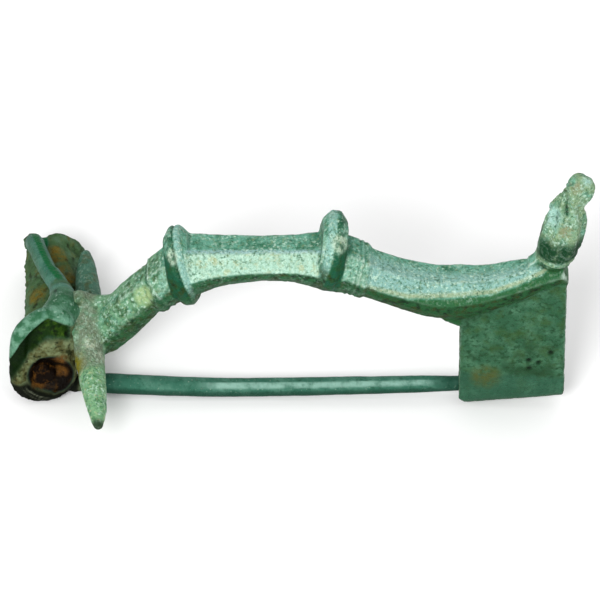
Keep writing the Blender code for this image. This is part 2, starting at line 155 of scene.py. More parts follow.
# %% [markdown]
# ## Points as arrays
#
# Large relief, such as a groove or a hollow, is one formula over all points of a mesh. NumPy reads the
# points and normals as arrays and writes them back, which is quick even for a hundred thousand points.
# Inside these formulas all lengths are in millimetres.


# %% Read and write points
def points_of(thing):
    flat = np.empty(len(thing.data.vertices) * 3, np.float32)
    thing.data.vertices.foreach_get("co", flat)
    return flat.reshape(-1, 3).astype(float) / MM


def normals_of(thing):
    flat = np.empty(len(thing.data.vertices) * 3, np.float32)
    thing.data.vertex_normals.foreach_get("vector", flat)
    return flat.reshape(-1, 3).astype(float)


def set_points(thing, points):
    """Writes the points back. None goes below the table."""
    points = points * MM
    points[:, 2] = np.maximum(points[:, 2], 0.0)
    thing.data.vertices.foreach_set("co", points.astype(np.float32).ravel())
    thing.data.update()


def keep_masks(thing, **masks):
    """Stores a number from 0 to 1 for each point, which a tree or a material reads by the mask's name."""
    for name, values in masks.items():
        mask = thing.data.attributes.new(name, "FLOAT", "POINT")
        mask.data.foreach_set("value", np.clip(values, 0, 1).astype(np.float32))


print("Points in the casting's solid:", len(points_of(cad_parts["bow"])))


# %% [markdown]
# ## Masks
#
# A mask says how much of a colour or a relief each point gets. Most come from three questions: how far is a
# point from a spot, how far from a path, and how far up a soft step. Every place on the brooch is named by
# such spots.


# %% Soft steps, spots and paths
SPOT_EDGE = (1.2, 0.5)


def step(values, low, high):
    """0 below low, 1 above high, and a soft rise between. With low above high it falls."""
    t = np.clip((values - low) / (high - low), 0, 1)
    return t * t * (3 - 2 * t)


def path_distance(points, path):
    """The distance of each point from a bent line."""
    path = np.array(path, float)
    nearest = np.full(len(points), np.inf)
    for start, end in zip(path[:-1], path[1:]):
        along = end - start
        t = np.clip((points - start) @ along / (along @ along), 0, 1)
        nearest = np.minimum(nearest, np.linalg.norm(points - start - t[:, None] * along, axis=1))
    return nearest


def spots(points, places):
    """A mask of soft round spots, each a centre and a radius. It fades over a share of the radius."""
    mask = np.zeros(len(points))
    for *centre, radius in places:
        edge = (radius * share for share in SPOT_EDGE)
        mask = np.maximum(mask, step(np.linalg.norm(points - centre, axis=1), *edge))
    return mask


def within(values, low, high, soft):
    """A mask of the points between two values."""
    return step(values, low - soft, low + soft) * step(values, high + soft, high - soft)


print("A soft step:", step(np.linspace(0, 1, 5), 0.0, 1.0).round(2))


# %% [markdown]
# ## Hollows and crests
#
# Dirt stays in hollows and wear shows on crests. A point lies in a hollow if the middle of its neighbours
# is in front of it, along its normal. Averaging the points over the mesh's edges a few times gives that
# middle.


# %% Averages over neighbours
def neighbour_mean(thing, values, times):
    edges = np.empty(len(thing.data.edges) * 2, np.int32)
    thing.data.edges.foreach_get("vertices", edges)
    a, b = edges.reshape(-1, 2).T
    count = np.bincount(a, minlength=len(values)) + np.bincount(b, minlength=len(values))
    for _ in range(times):
        total = np.zeros_like(values)
        for k in range(values.shape[1]):
            total[:, k] = np.bincount(a, values[b, k], len(values))
            total[:, k] += np.bincount(b, values[a, k], len(values))
        values = total / count[:, None]
    return values


def hollow_depth(thing, times):
    """How far each point lies below its surroundings. Crests are below zero."""
    points = points_of(thing)
    return ((neighbour_mean(thing, points, times) - points) * normals_of(thing)).sum(1)


def soften(thing, mask, times):
    """Melts the relief where the mask is 1."""
    points = points_of(thing)
    smooth = neighbour_mean(thing, points, times)
    set_points(thing, points + (smooth - points) * mask[:, None])


# %% [markdown]
# ## Fine copies of the solids
#
# The solids are made of large flat triangles. A voxel remesh turns a copy into small even faces: corners
# become as soft as a worn casting's, shapes that meet grow together, and there are points everywhere for
# the relief. Lumps of corrosion are laid on as egg shapes before the remesh, which welds them to the metal
# as corrosion does.

# %% Lumps and fine faces
FINE_FACE = 0.15 * MM
SAME_CORNER = 0.0005 * MM
EGG_ROUNDNESS = 3
RUB_SHARE = 0.5


def as_plain_mesh(thing):
    """Turns the object's modifiers into its mesh."""
    graph = bpy.context.evaluated_depsgraph_get()
    mesh = bpy.data.meshes.new_from_object(thing.evaluated_get(graph))
    thing.modifiers.clear()
    thing.data = mesh
    return thing


def merged_copy(node, name, lumps=()):
    """A copy of a solid whose loose triangles share their corners, with egg-shaped lumps laid on."""
    shape = bmesh.new()
    shape.from_mesh(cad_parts[node].data)
    bmesh.ops.remove_doubles(shape, verts=shape.verts, dist=SAME_CORNER)
    for centre, radii in lumps:
        place = Matrix.Translation(Vector(centre) * MM) @ Matrix.Diagonal((*radii, 1 / MM)) * MM
        bmesh.ops.create_icosphere(shape, subdivisions=EGG_ROUNDNESS, radius=1.0, matrix=place)
    mesh = bpy.data.meshes.new(name)
    shape.to_mesh(mesh)
    shape.free()
    copy = bpy.data.objects.new(name, mesh)
    bpy.context.scene.collection.objects.link(copy)
    return copy


def remake_fine(thing, smoothings):
    """Even small faces, with the corners rubbed down."""
    remesh = thing.modifiers.new("remesh", "REMESH")
    remesh.mode = "VOXEL"
    remesh.voxel_size = FINE_FACE
    if smoothings:
        rub = thing.modifiers.new("rub", "SMOOTH")
        rub.factor = RUB_SHARE
        rub.iterations = smoothings
    return as_plain_mesh(thing)


def egg_row(path, sizes, count):
    """Eggs along a bent line. Sizes are radii in all three directions at each corner of the line."""
    path, sizes = np.array(path, float), np.array(sizes, float)
    steps = np.linspace(0, len(path) - 1, count)
    rows = []
    for at in steps:
        k = min(int(at), len(path) - 2)
        share = at - k
        centre = path[k] * (1 - share) + path[k + 1] * share
        radii = sizes[k] * (1 - share) + sizes[k + 1] * share
        rows.append((tuple(centre), tuple(radii)))
    return rows


print("Fine faces:", round(FINE_FACE / MM, 2), "mm")

# %% [markdown]
# ## Short ways to build a node tree
#
# Geometry Nodes and shaders are both trees of nodes, and both need many small sums. One helper gives a tree
# its tools, so that a sum is one line. Two more begin and end a Geometry Nodes tree, which takes a
# geometry, named sizes and a material, and ends with real faces that have the material.


# %% Tools for a tree
def tools_for(tree):
    """Three tools: add a node, feed a socket from a value or another socket, and do a sum."""
    add = tree.nodes.new

    def feed(value, socket):
        if isinstance(value, (int, float, tuple)):
            socket.default_value = value
        else:
            tree.links.new(value, socket)

    def maths(operation, first, second):
        node = add("ShaderNodeMath")
        node.operation = operation
        feed(first, node.inputs[0])
        feed(second, node.inputs[1])
        return node.outputs[0]

    return add, feed, maths


def begin_tree(name, sizes, counts=()):
    """A Geometry Nodes tree with its inputs and its output."""
    tree = bpy.data.node_groups.new(name, "GeometryNodeTree")
    kinds = [("Geometry", "Geometry")]
    kinds += [(size, "Float") for size in sizes] + [(count, "Int") for count in counts]
    kinds += [("Material", "Material")]
    for label, kind in kinds:
        tree.interface.new_socket(label, in_out="INPUT", socket_type="NodeSocket" + kind)
    tree.interface.new_socket("Geometry", in_out="OUTPUT", socket_type="NodeSocketGeometry")
    return tree, tree.nodes.new("NodeGroupInput").outputs


def end_tree(tree, given, geometry):
    """Makes the tree's copies real and gives them the material."""
    add, feed, _ = tools_for(tree)
    realize = add("GeometryNodeRealizeInstances")
    paint = add("GeometryNodeSetMaterial")
    feed(geometry, realize.inputs[0])
    feed(realize.outputs[0], paint.inputs["Geometry"])
    feed(given["Material"], paint.inputs["Material"])
    feed(paint.outputs[0], add("NodeGroupOutput").inputs[0])


def kept_mask(tree, name):
    """Reads a mask that is kept on the points."""
    node = tree.nodes.new("GeometryNodeInputNamedAttribute")
    node.data_type = "FLOAT"
    node.inputs["Name"].default_value = name
    return node.outputs["Attribute"]


def run_tree(thing, tree, material, sizes):
    """Runs a Geometry Nodes tree on the object. Each value in sizes is named as its input is."""
    grow = thing.modifiers.new(tree.name, "NODES")
    grow.node_group = tree
    for item in tree.interface.items_tree:
        if item.in_out == "INPUT" and item.name in sizes:
            grow[item.identifier] = sizes[item.name]
        if item.in_out == "INPUT" and item.name == "Material":
            grow[item.identifier] = material
    as_plain_mesh(thing)
    thing.data.materials.clear()
    thing.data.materials.append(material)
    thing.data.shade_smooth()


# %% [markdown]
# ## A corroded skin
#
# Bronze corrodes unevenly: a broad swell, a fine grain and a scatter of pits. This Geometry Nodes tree
# moves each point along its normal by noise of those three sizes. Its inputs are named, so that one tree
# serves all pieces, and a mask named relief says where the skin is rough.

# %% Build the skin tree
SWELL_SEED, GRAIN_SEED, PIT_SEED = 1.3, 4.1, 7.7
SWELL_DETAIL, GRAIN_DETAIL, PIT_DETAIL = 2.0, 3.0, 1.0
PIT_LEVEL = 0.13
PIT_STEEPNESS = -8.0


def skin_tree():
    tree, given = begin_tree(
        "corroded skin",
        ("Swell Depth", "Swell Size", "Grain Depth", "Grain Size", "Pit Depth", "Pit Size"),
    )
    add, feed, maths = tools_for(tree)

    def noise(size, seed, detail):
        node = add("ShaderNodeTexNoise")
        node.noise_dimensions = "4D"
        node.inputs["W"].default_value = seed
        node.inputs["Detail"].default_value = detail
        feed(maths("DIVIDE", 1.0, size), node.inputs["Scale"])
        return maths("SUBTRACT", node.outputs[0], 0.5)

    swell = maths("MULTIPLY", noise(given["Swell Size"], SWELL_SEED, SWELL_DETAIL), given["Swell Depth"])
    grain = maths("MULTIPLY", noise(given["Grain Size"], GRAIN_SEED, GRAIN_DETAIL), given["Grain Depth"])
    pits = maths("SUBTRACT", noise(given["Pit Size"], PIT_SEED, PIT_DETAIL), PIT_LEVEL)
    pits = maths("MULTIPLY", maths("MAXIMUM", pits, 0.0), PIT_STEEPNESS)
    pits = maths("MULTIPLY", pits, given["Pit Depth"])
    rough = maths("MULTIPLY", maths("ADD", grain, pits), kept_mask(tree, "relief"))
    push = add("ShaderNodeVectorMath")
    push.operation = "SCALE"
    feed(add("GeometryNodeInputNormal").outputs[0], push.inputs[0])
    feed(maths("ADD", swell, rough), push.inputs["Scale"])
    move = add("GeometryNodeSetPosition")
    feed(given["Geometry"], move.inputs["Geometry"])
    feed(push.outputs[0], move.inputs["Offset"])
    end_tree(tree, given, move.outputs[0])
    return tree


def skin_sizes(swell, grain, pits):
    """The skin tree's inputs, from a depth and a size in mm for each kind of relief."""
    sizes = {}
    for name, (depth, size) in (("Swell", swell), ("Grain", grain), ("Pit", pits)):
        sizes[name + " Depth"] = depth * MM
        sizes[name + " Size"] = size * MM
    return sizes


corroded_skin = skin_tree()
print("Skin tree:", len(corroded_skin.nodes), "nodes")

# %% [markdown]
# ## Colours of old bronze
#
# Patina is never one green. A first node group turns noise into a mask of soft patches, from a few
# millimetres down to small flecks. Each material lays its colours over each other through such masks and
# through the masks kept on the mesh. A colour is written as it looks in this light, and divided by the
# light.

# %% Shared shader group
USUAL_LIGHT = 1.35
STRONG_LIGHT = 1.45
PATCH_DETAIL = 3.0
PATCH_ROUGHNESS = 0.6


def seen(red, green, blue, light=USUAL_LIGHT):
    """The surface colour that looks like this, 0 to 255, in so much light. The sums are the sRGB curve's."""
    values = [c / 255 for c in (red, green, blue)]
    values = [c / 12.92 if c <= 0.04045 else ((c + 0.055) / 1.055) ** 2.4 for c in values]
    return (*[c / light for c in values], 1.0)


def patches_group():
    """Noise as a mask: soft patches of a size, more of them for a higher share."""
    tree = bpy.data.node_groups.new("patches", "ShaderNodeTree")
    for label, value in (("Size", MM), ("Share", 0.5), ("Softness", 0.1), ("Seed", 0.0)):
        socket = tree.interface.new_socket(label, in_out="INPUT", socket_type="NodeSocketFloat")
        socket.default_value = value
    tree.interface.new_socket("Mask", in_out="OUTPUT", socket_type="NodeSocketFloat")
    add, feed, maths = tools_for(tree)
    given = add("NodeGroupInput").outputs
    noise = add("ShaderNodeTexNoise")
    noise.noise_dimensions = "4D"
    noise.inputs["Detail"].default_value = PATCH_DETAIL
    noise.inputs["Roughness"].default_value = PATCH_ROUGHNESS
    feed(add("ShaderNodeTexCoord").outputs["Object"], noise.inputs["Vector"])
    feed(maths("DIVIDE", 1.0, given["Size"]), noise.inputs["Scale"])
    feed(given["Seed"], noise.inputs["W"])
    level = maths("SUBTRACT", 1.0, given["Share"])
    rise = add("ShaderNodeMapRange")
    rise.interpolation_type = "SMOOTHSTEP"
    feed(noise.outputs[0], rise.inputs["Value"])
    feed(maths("SUBTRACT", level, given["Softness"]), rise.inputs["From Min"])
    feed(maths("ADD", level, given["Softness"]), rise.inputs["From Max"])
    feed(rise.outputs[0], add("NodeGroupOutput").inputs["Mask"])
    return tree


patches = patches_group()
print("Patches group:", [item.name for item in patches.interface.items_tree])


# %% A short way to write a material
class Paint:
    """Builds one material: colours laid over each other through masks, with roughness and relief."""

    def __init__(self, name, ground):
        self.material = bpy.data.materials.new(name)
        self.material.use_nodes = True
        self.shader = self.material.node_tree.nodes["Principled BSDF"]
        self.add, self.feed, self.maths = tools_for(self.material.node_tree)
        self.colour = ground

    def patches(self, size, share, softness, seed):
        """A mask of soft patches. Their size is in mm."""
        node = self.add("ShaderNodeGroup")
        node.node_tree = patches
        for name, value in (("Size", size * MM), ("Share", share), ("Softness", softness), ("Seed", seed)):
            node.inputs[name].default_value = value
        return node.outputs["Mask"]

    def mask(self, name, share=1.0):
        node = self.add("ShaderNodeAttribute")
        node.attribute_name = name
        return self.maths("MULTIPLY", node.outputs["Fac"], share)

    def both(self, first, second):
        return self.maths("MULTIPLY", first, second)

    def total(self, shares):
        """The sum of several masks, each with its share."""
        amount = 0.0
        for name, share in shares.items():
            amount = self.maths("ADD", amount, self.mask(name, share))
        return amount

    def lay(self, colour, amount):
        """Lays a colour over what is there, as much as the amount says."""
        node = self.add("ShaderNodeMix")
        node.data_type = "RGBA"
        self.feed(amount, node.inputs[0])
        self.feed(self.colour, node.inputs[6])
        self.feed(colour, node.inputs[7])
        self.colour = node.outputs[2]

    def lay_all(self, rows):
        """Lays rows of a kept mask, its share, a colour and, where given, the patches that break it up."""
        for name, share, colour, *broken in rows:
            amount = self.mask(name, share)
            for values in broken:
                amount = self.both(amount, self.patches(*values))
            self.lay(colour, amount)

    def finish(self, roughness, gloss, bump_height, bump_depth):
        """Joins the colours, the roughness and a fine bump, whose depth is in mm, to the shader."""
        self.feed(self.colour, self.shader.inputs["Base Color"])
        self.shader.inputs["Specular IOR Level"].default_value = gloss
        self.feed(roughness, self.shader.inputs["Roughness"])
        bump = self.add("ShaderNodeBump")
        bump.inputs["Distance"].default_value = bump_depth * MM
        self.feed(bump_height, bump.inputs["Height"])
        self.feed(bump.outputs[0], self.shader.inputs["Normal"])
        return self.material


# %% [markdown]
# ## The casting
#
# The bow, its collars, the foot, the catch and the knob are one casting. At the head, soil and corrosion
# fill the corner between the arms and the leg, so the copy gets a row of lumps there. A shorter row fills
# out the knob's neck.

# %% The casting's fine copy
HEAD_FILL_PATH = [(-21.3, -0.2, 9.0), (-20.8, -2.2, 7.9), (-20.5, -4.2, 6.7), (-20.3, -6.2, 6.1)]
HEAD_FILL_SIZES = [(1.2, 1.2, 1.2), (1.5, 1.3, 1.4), (1.45, 1.3, 1.5), (1.35, 1.2, 1.35)]
KNOB_NECK_PATH = [(26.6, -1.75, 29.3), (24.85, -1.75, 26.4)]
KNOB_NECK_SIZES = [(0.8, 0.9, 0.8), (0.85, 1.0, 0.85)]

lumps = egg_row(HEAD_FILL_PATH, HEAD_FILL_SIZES, count=10)
lumps += egg_row(KNOB_NECK_PATH, KNOB_NECK_SIZES, count=6)
bow = merged_copy("bow", "patinated_bow", lumps)
remake_fine(bow, smoothings=3)
smooth_points, smooth_normals = points_of(bow), normals_of(bow)
print("Bow:", len(bow.data.polygons), "faces")

# %% [markdown]
# ## Rings and grooves
#
# On the real brooch a smith filed thin rings round both cuffs, next to the collars. A ring is a wave along
# the bow, so it is one cosine over the distance from the cuff's middle. The line that parts the left collar
# from its cuff is deeper, and is cut the same way. Forms this small would cost far more as solids.

# %% Cut the cuff rings and the collar's groove
BOW_MIDDLE_Y = -1.695
LEFT_COLLAR = ((-12.4, BOW_MIDDLE_Y, 17.5), (0.93, 0, 0.37))
RIGHT_COLLAR = ((3.2, BOW_MIDDLE_Y, 19.9), (0.99, 0, -0.15))
LEFT_CUFF = ((-14.4, BOW_MIDDLE_Y, 14.0), (1, 0, 1))
RIGHT_CUFF = ((5.9, BOW_MIDDLE_Y, 18.2), (0.97, 0, -0.24))
LEFT_CUFF_LENGTH, LEFT_CUFF_RINGS = 1.2, 1
RIGHT_CUFF_LENGTH, RIGHT_CUFF_RINGS = 1.1, 2
RIGHT_CUFF_WEAR = 0.7
CUFF_REACH = (5.5, 4.5)
COLLAR_REACH = (5.2, 4.2)
RING_DEPTH = 0.09
COLLAR_GROOVE_DEPTH = 0.2
COLLAR_GROOVE = (0.3, 0.5)
COLLAR_GROOVE_TOP_Z = (20.6, 19.6)


def rings(points, cuff, length, count):
    """Thin rings round a cuff: 1 on a crest, -1 in a groove and 0 elsewhere."""
    centre, along = cuff
    t = (points - centre) @ (np.array(along) / np.linalg.norm(along))
    near = step(np.linalg.norm(points - centre, axis=1), *CUFF_REACH)
    return near * within(t, -length / 2, length / 2, soft=0.1) * np.cos(t / length * count * 2 * math.pi)


def by_collar(points, collar):
    """How far each point lies along the bow from the collar's middle, and a mask of the points near it."""
    centre, along = collar
    return (points - centre) @ np.array(along), step(np.linalg.norm(points - centre, axis=1), *COLLAR_REACH)


cuff_rings = rings(smooth_points, RIGHT_CUFF, RIGHT_CUFF_LENGTH, RIGHT_CUFF_RINGS) * RIGHT_CUFF_WEAR
cuff_rings -= rings(smooth_points, LEFT_CUFF, LEFT_CUFF_LENGTH, LEFT_CUFF_RINGS)
left_t, by_left = by_collar(smooth_points, LEFT_COLLAR)
groove = by_left * step(smooth_points[:, 2], *COLLAR_GROOVE_TOP_Z) * within(left_t, *COLLAR_GROOVE, soft=0.15)
rings_out = smooth_normals * (cuff_rings * RING_DEPTH)[:, None]
groove_in = smooth_normals * (groove * COLLAR_GROOVE_DEPTH)[:, None]
print("Ring points:", int((abs(cuff_rings) > 0.5).sum()), "groove points:", int((groove > 0.5).sum()))

# %% [markdown]
# ## The knob and the catchplate
#
# The knob was cut with flat facets, now half worn away, and fine ridges ring its base. The catchplate has
# four small pits. All three follow simple rules: a wave round the knob, a wave up it, and four soft spots.

# %% Shape the knob and pit the plate
KNOB_MIDDLE_X = 25.6
KNOB_BODY_Z = (21.4, 21.9)
KNOB_BODY_X = (22.5, 23.2)
FACETS = 7
FACET_DEPTH = 0.16
FACET_TURN = 0.6
FACET_TWIST, FACET_TWIST_RATE = 0.5, 0.9
KNOB_BASE_Z = (19.6, 21.3)
KNOB_BASE_X = (23.2, 23.8)
RIDGE_PITCH = 0.72
RIDGE_DEPTH = 0.08
RIDGE_SLOPE, RIDGE_MIDDLE_X = 0.25, 25.2
PLATE_PITS = [
    (23.8, -2.93, 7.0, 0.34),
    (23.95, -2.93, 5.9, 0.3),
    (24.8, -2.93, 6.8, 0.3),
    (25.9, -2.93, 8.2, 0.32),
]
PLATE_PIT_DEPTH = 0.16


def knob_forms(points, normals):
    """Shallow facets round the knob's body and ridges round its base."""
    x, y, z = points.T
    body = step(z, *KNOB_BODY_Z) * step(x, *KNOB_BODY_X)
    turn = np.arctan2(y - BOW_MIDDLE_Y, x - KNOB_MIDDLE_X)
    facets = np.cos(turn * FACETS + FACET_TURN + FACET_TWIST * np.sin(z * FACET_TWIST_RATE)) * FACET_DEPTH
    base = within(z, *KNOB_BASE_Z, soft=0.15) * step(x, *KNOB_BASE_X)
    ridges = np.cos((z + RIDGE_SLOPE * (x - RIDGE_MIDDLE_X)) * 2 * math.pi / RIDGE_PITCH) * RIDGE_DEPTH
    return points + normals * (body * facets + base * ridges)[:, None]


points = knob_forms(smooth_points + rings_out, smooth_normals)
points = points - smooth_normals * (spots(points, PLATE_PITS) * PLATE_PIT_DEPTH)[:, None]
relief = ((points - smooth_points) * smooth_normals).sum(1)
print("Relief from", relief.min().round(2), "to", relief.max().round(2), "mm")

# %% [markdown]
# ## Bends, wear and the hidden hook
#
# Long burial bent the near arm a little and wore the knob's head down. The chord's hook stands clear in the
# solid, but on this find the crust has swallowed it, so its points are drawn in round the wire until the
# crust covers them.

# %% Bend the casting and sink the hook
NEAR_ARM_LEAN = 0.35
ARM_LEANS_Y = (-7.0, -14.0)
ARM_LEANS_X = (-15.0, -16.0)
KNOB_BENT_BACK = 0.2
KNOB_BENDS_Z = (24.0, 30.0)
KNOB_WORN_DOWN = 0.35
KNOB_WEARS_Z = (23.0, 30.0)
HOOK_LINE = [(-22.95, -2.6, 9.2), (-22.95, 1.4, 9.15)]
HOOK_REACH = (2.9, 2.5)
HOOK_ENDS_X = (-21.2, -21.9)
HOOK_SUNK_RADIUS = 0.7
CHORD_PATH = [
    (-22.9, -1.1, 9.2),
    (-23.5, 1.9, 8.8),
    (-24.6, 5.5, 8.1),
    (-25.5, 9.5, 7.1),
    (-25.9, 11.0, 6.4),
    (-25.7, 12.7, 4.9),
    (-24.9, 14.4, 2.6),
]
HEAD_STARTS_X = (-17.2, -18.4)
HEAD_SOFTENINGS = 14


def sink_hook(points):
    """Draws the chord hook in round the wire, because the crust covers it there."""
    y = points[:, 1]
    chord_x, chord_y, chord_z = np.transpose(CHORD_PATH)
    wire_centre = np.stack([np.interp(y, chord_y, chord_x), y, np.interp(y, chord_y, chord_z)], 1)
    out = points - wire_centre
    radius = np.linalg.norm(out, axis=1)
    on_hook = step(path_distance(points, HOOK_LINE), *HOOK_REACH) * step(points[:, 0], *HOOK_ENDS_X)
    shrink = np.minimum(1, HOOK_SUNK_RADIUS / np.maximum(radius, 0.01))
    return points + out * ((shrink - 1) * on_hook)[:, None]


points[:, 0] += NEAR_ARM_LEAN * step(points[:, 1], *ARM_LEANS_Y) * step(points[:, 0], *ARM_LEANS_X)
points[:, 0] -= KNOB_BENT_BACK * step(points[:, 2], *KNOB_BENDS_Z)
points[:, 2] -= KNOB_WORN_DOWN * step(points[:, 2], *KNOB_WEARS_Z)
set_points(bow, sink_hook(points - groove_in))
soften(bow, step(smooth_points[:, 0], *HEAD_STARTS_X), HEAD_SOFTENINGS)
print("Bow's top:", points_of(bow)[:, 2].max().round(2), "mm")

# %% [markdown]
# ## Places on the casting
#
# Every part of the casting is found by where its points lie and by the way that they face. A soft edge is
# written as two lengths in mm: the mask is 0 at the first and 1 at the second, so an edge can rise either
# way.

# %% Find the casting's parts
PLATE_STARTS_X = (16.4, 16.9)
PLATE_FACE_Y = (-3.1, -2.6)
PLATE_FACES_FRONT = (0.55, 0.85)
PLATE_TOP_Z = (17.6, 17.0)
KNOB_STARTS_X = (22.8, 23.6)
KNOB_STARTS_Z = (19.6, 20.4)
FOOT_X = (6.8, 29.0)
MIDDLE_X = (-11.6, 2.4)
LEG_STARTS_X = (-13.6, -14.2)
ARMS_START_X = (-17.8, -18.6)
LEG_BETWEEN_ARMS_Y = (-4.5, 2.5)
LEFT_COLLAR_HALF, RIGHT_COLLAR_HALF = 1.15, 1.2

place = points_of(bow)
x, y, z = place.T
_, ny, nz = neighbour_mean(bow, smooth_normals, times=2).T
left_t, by_left = by_collar(place, LEFT_COLLAR)
right_t, by_right = by_collar(place, RIGHT_COLLAR)
on_left_collar = by_left * within(left_t, -LEFT_COLLAR_HALF, LEFT_COLLAR_HALF, soft=0.1)
on_right_collar = by_right * within(right_t, -RIGHT_COLLAR_HALF, RIGHT_COLLAR_HALF, soft=0.1)
off_collars = (1 - on_left_collar) * (1 - on_right_collar)
on_plate = step(x, *PLATE_STARTS_X) * within(y, *PLATE_FACE_Y, soft=0.1)
on_plate *= step(-ny, *PLATE_FACES_FRONT) * step(z, *PLATE_TOP_Z)
on_knob = step(x, *KNOB_STARTS_X) * step(z, *KNOB_STARTS_Z)
on_foot = within(x, *FOOT_X, soft=0.4) * (1 - on_knob)
on_middle = within(x, *MIDDLE_X, soft=0.3) * off_collars
on_leg = step(x, *LEG_STARTS_X)
on_arms = step(x, *ARMS_START_X) * (1 - within(y, *LEG_BETWEEN_ARMS_Y, soft=0.6))
print("Plate points:", int((on_plate > 0.5).sum()), "knob points:", int((on_knob > 0.5).sum()))

# %% [markdown]
# ## Painted light and shade on the bow
#
# The bevels that face the front get painted light in pale mint, and the undersides get painted shade in
# nearly black-green. The foot carries a long painted blue sheen. Its top and foot edges run as smooth lines
# along
# it, so they are drawn as two lines: for each length along the brooch, a height as it looks from the front
# and above. A thin painted highlight runs along the upper edge of the bow's middle.

# %% Mask the bevels, the sheen and the undersides
UP_FROM_Y, UP_FROM_Z = 0.671, 0.739
FRONT_FROM_NY, FRONT_FROM_NZ = -0.741, 0.669
FACES_VIEWER = (-0.1, 0.2)
BEVEL_FACES_FRONT = (0.25, 0.6)
BEVEL_FACES_UP = (0.05, 0.3)
LIT_BEVELS_OFF_MIDDLE = 0.3
SHEEN_TOP_X = (6.8, 9.1, 11.6, 14.9, 18.3, 21.6, 23.2, 24.4)
SHEEN_TOP = (13.1, 12.5, 12.0, 11.7, 12.0, 12.7, 13.05, 12.4)
SHEEN_FOOT_X = (6.5, 10.8, 14.9, 19.1, 21.6, 24.1, 25.2)
SHEEN_FOOT = (9.4, 8.7, 9.0, 9.6, 10.6, 11.9, 12.9)
SHEEN_TOP_EDGE, SHEEN_FOOT_EDGE = (0.3, -0.9), (0.1, -0.25)
FOOT_LINE, FOOT_LOW_EDGE = (-0.45, 0.0), (0.0, 0.3)
EDGE_LINE = (12.5, 12.85)
EDGE_LINE_SLOPE = 0.058
UNDER_FACES_DOWN = (-0.32, 0.12)

seen_height = UP_FROM_Y * y + UP_FROM_Z * z
faces_viewer = step(FRONT_FROM_NZ * nz + FRONT_FROM_NY * ny, *FACES_VIEWER)
faces_front = step(-ny, *BEVEL_FACES_FRONT) * step(nz, *BEVEL_FACES_UP)
above_sheen = seen_height - np.interp(x, SHEEN_TOP_X, SHEEN_TOP)
below_sheen = np.interp(x, SHEEN_FOOT_X, SHEEN_FOOT) - seen_height
# Painted light: bevels that face the front are painted pale, most of all on the bow's middle.
pale = faces_front * (LIT_BEVELS_OFF_MIDDLE + (1 - LIT_BEVELS_OFF_MIDDLE) * on_middle)
# Painted sheen: a blue-white band along the foot, between its two drawn lines.
sheen = on_foot * faces_viewer * step(above_sheen, *SHEEN_TOP_EDGE) * step(below_sheen, *SHEEN_FOOT_EDGE)
# Painted highlight: a thin blue-white line along the upper edge of the bow's middle.
on_edge_highlight = within(seen_height - EDGE_LINE_SLOPE * x, *EDGE_LINE, soft=0.12)
keep_masks(
    bow,
    pale=pale * (1 - on_foot) * (1 - on_plate) * (1 - on_leg),
    sheen=sheen,
    foot_line=on_foot * faces_viewer * within(below_sheen, *FOOT_LINE, soft=0.15),
    # Painted shade on the foot's lower facet, below the sheen.
    foot_low=on_foot * step(below_sheen, *FOOT_LOW_EDGE) * (1 - on_plate),
    edge_line=on_middle * faces_viewer * on_edge_highlight,
    # Painted shade on the faces that point down.
    under=step(-nz, *UNDER_FACES_DOWN) * (1 - on_plate) * (1 - on_arms) * (1 - on_knob),
)
print("Pale points:", int((pale > 0.5).sum()), "sheen points:", int((sheen > 0.5).sum()))

# %% [markdown]
# ## Shade and shine on the collars
#
# Each collar is a disc with a crest. Its side away from the lamp gets painted shade and its flared side
# painted light, with a painted highlight on its rim. Distance along the bow from the collar's middle tells
# these sides apart.

# %% Mask the collars
LEFT_SHADE_ENDS, LEFT_SHADE_BELOW_Z = (0.6, 0.4), (18.9, 18.2)
RIGHT_SHADE_STARTS, RIGHT_SHADE_BELOW_Z = (-0.45, -0.25), (21.9, 21.1)
RIGHT_CREST_STARTS, RIGHT_CREST_ABOVE_Z = (-0.4, -0.1), (22.8, 23.5)
RIGHT_CREST_SHARE = 0.7
LEFT_FLARE, RIGHT_FLARE = (0.45, 0.65), (-0.35, -0.55)
FLARE_FACES = (-0.6, -0.2)
RIGHT_DISC_STARTS = (-0.5, -0.3)
RING_GROOVES = (0.4, 0.95)
RIM_HIGHLIGHTS = [(-13.0, -4.0, 19.0, 0.85), (3.7, -4.0, 22.2, 1.05)]

shade = on_left_collar * step(left_t, *LEFT_SHADE_ENDS) * step(z, *LEFT_SHADE_BELOW_Z)
shade += on_left_collar * within(left_t, *COLLAR_GROOVE, soft=0.12)
shade += on_right_collar * step(right_t, *RIGHT_SHADE_STARTS) * step(z, *RIGHT_SHADE_BELOW_Z)
right_crest = on_right_collar * step(right_t, *RIGHT_CREST_STARTS) * step(z, *RIGHT_CREST_ABOVE_Z)
flares = on_left_collar * step(left_t, *LEFT_FLARE) + on_right_collar * step(right_t, *RIGHT_FLARE)
# Painted shade: mottled dark blue-green over the collars' sides away from the lamp.
discs = on_left_collar * step(left_t, *LEFT_SHADE_ENDS) + on_right_collar * step(right_t, *RIGHT_DISC_STARTS)
keep_masks(
    bow,
    collar_shade=shade + RIGHT_CREST_SHARE * right_crest,
    # Painted light on the collars' flared sides.
    collar_flare=flares * step(nz, *FLARE_FACES),
    collars=discs,
    # Painted highlight on each collar's rim.
    collar_shine=spots(place, RIM_HIGHLIGHTS),
    # Painted shade in the grooves of the cuff rings.
    grooves=step(-cuff_rings, *RING_GROOVES),
)
print("Shaded collar points:", int((shade > 0.5).sum()))
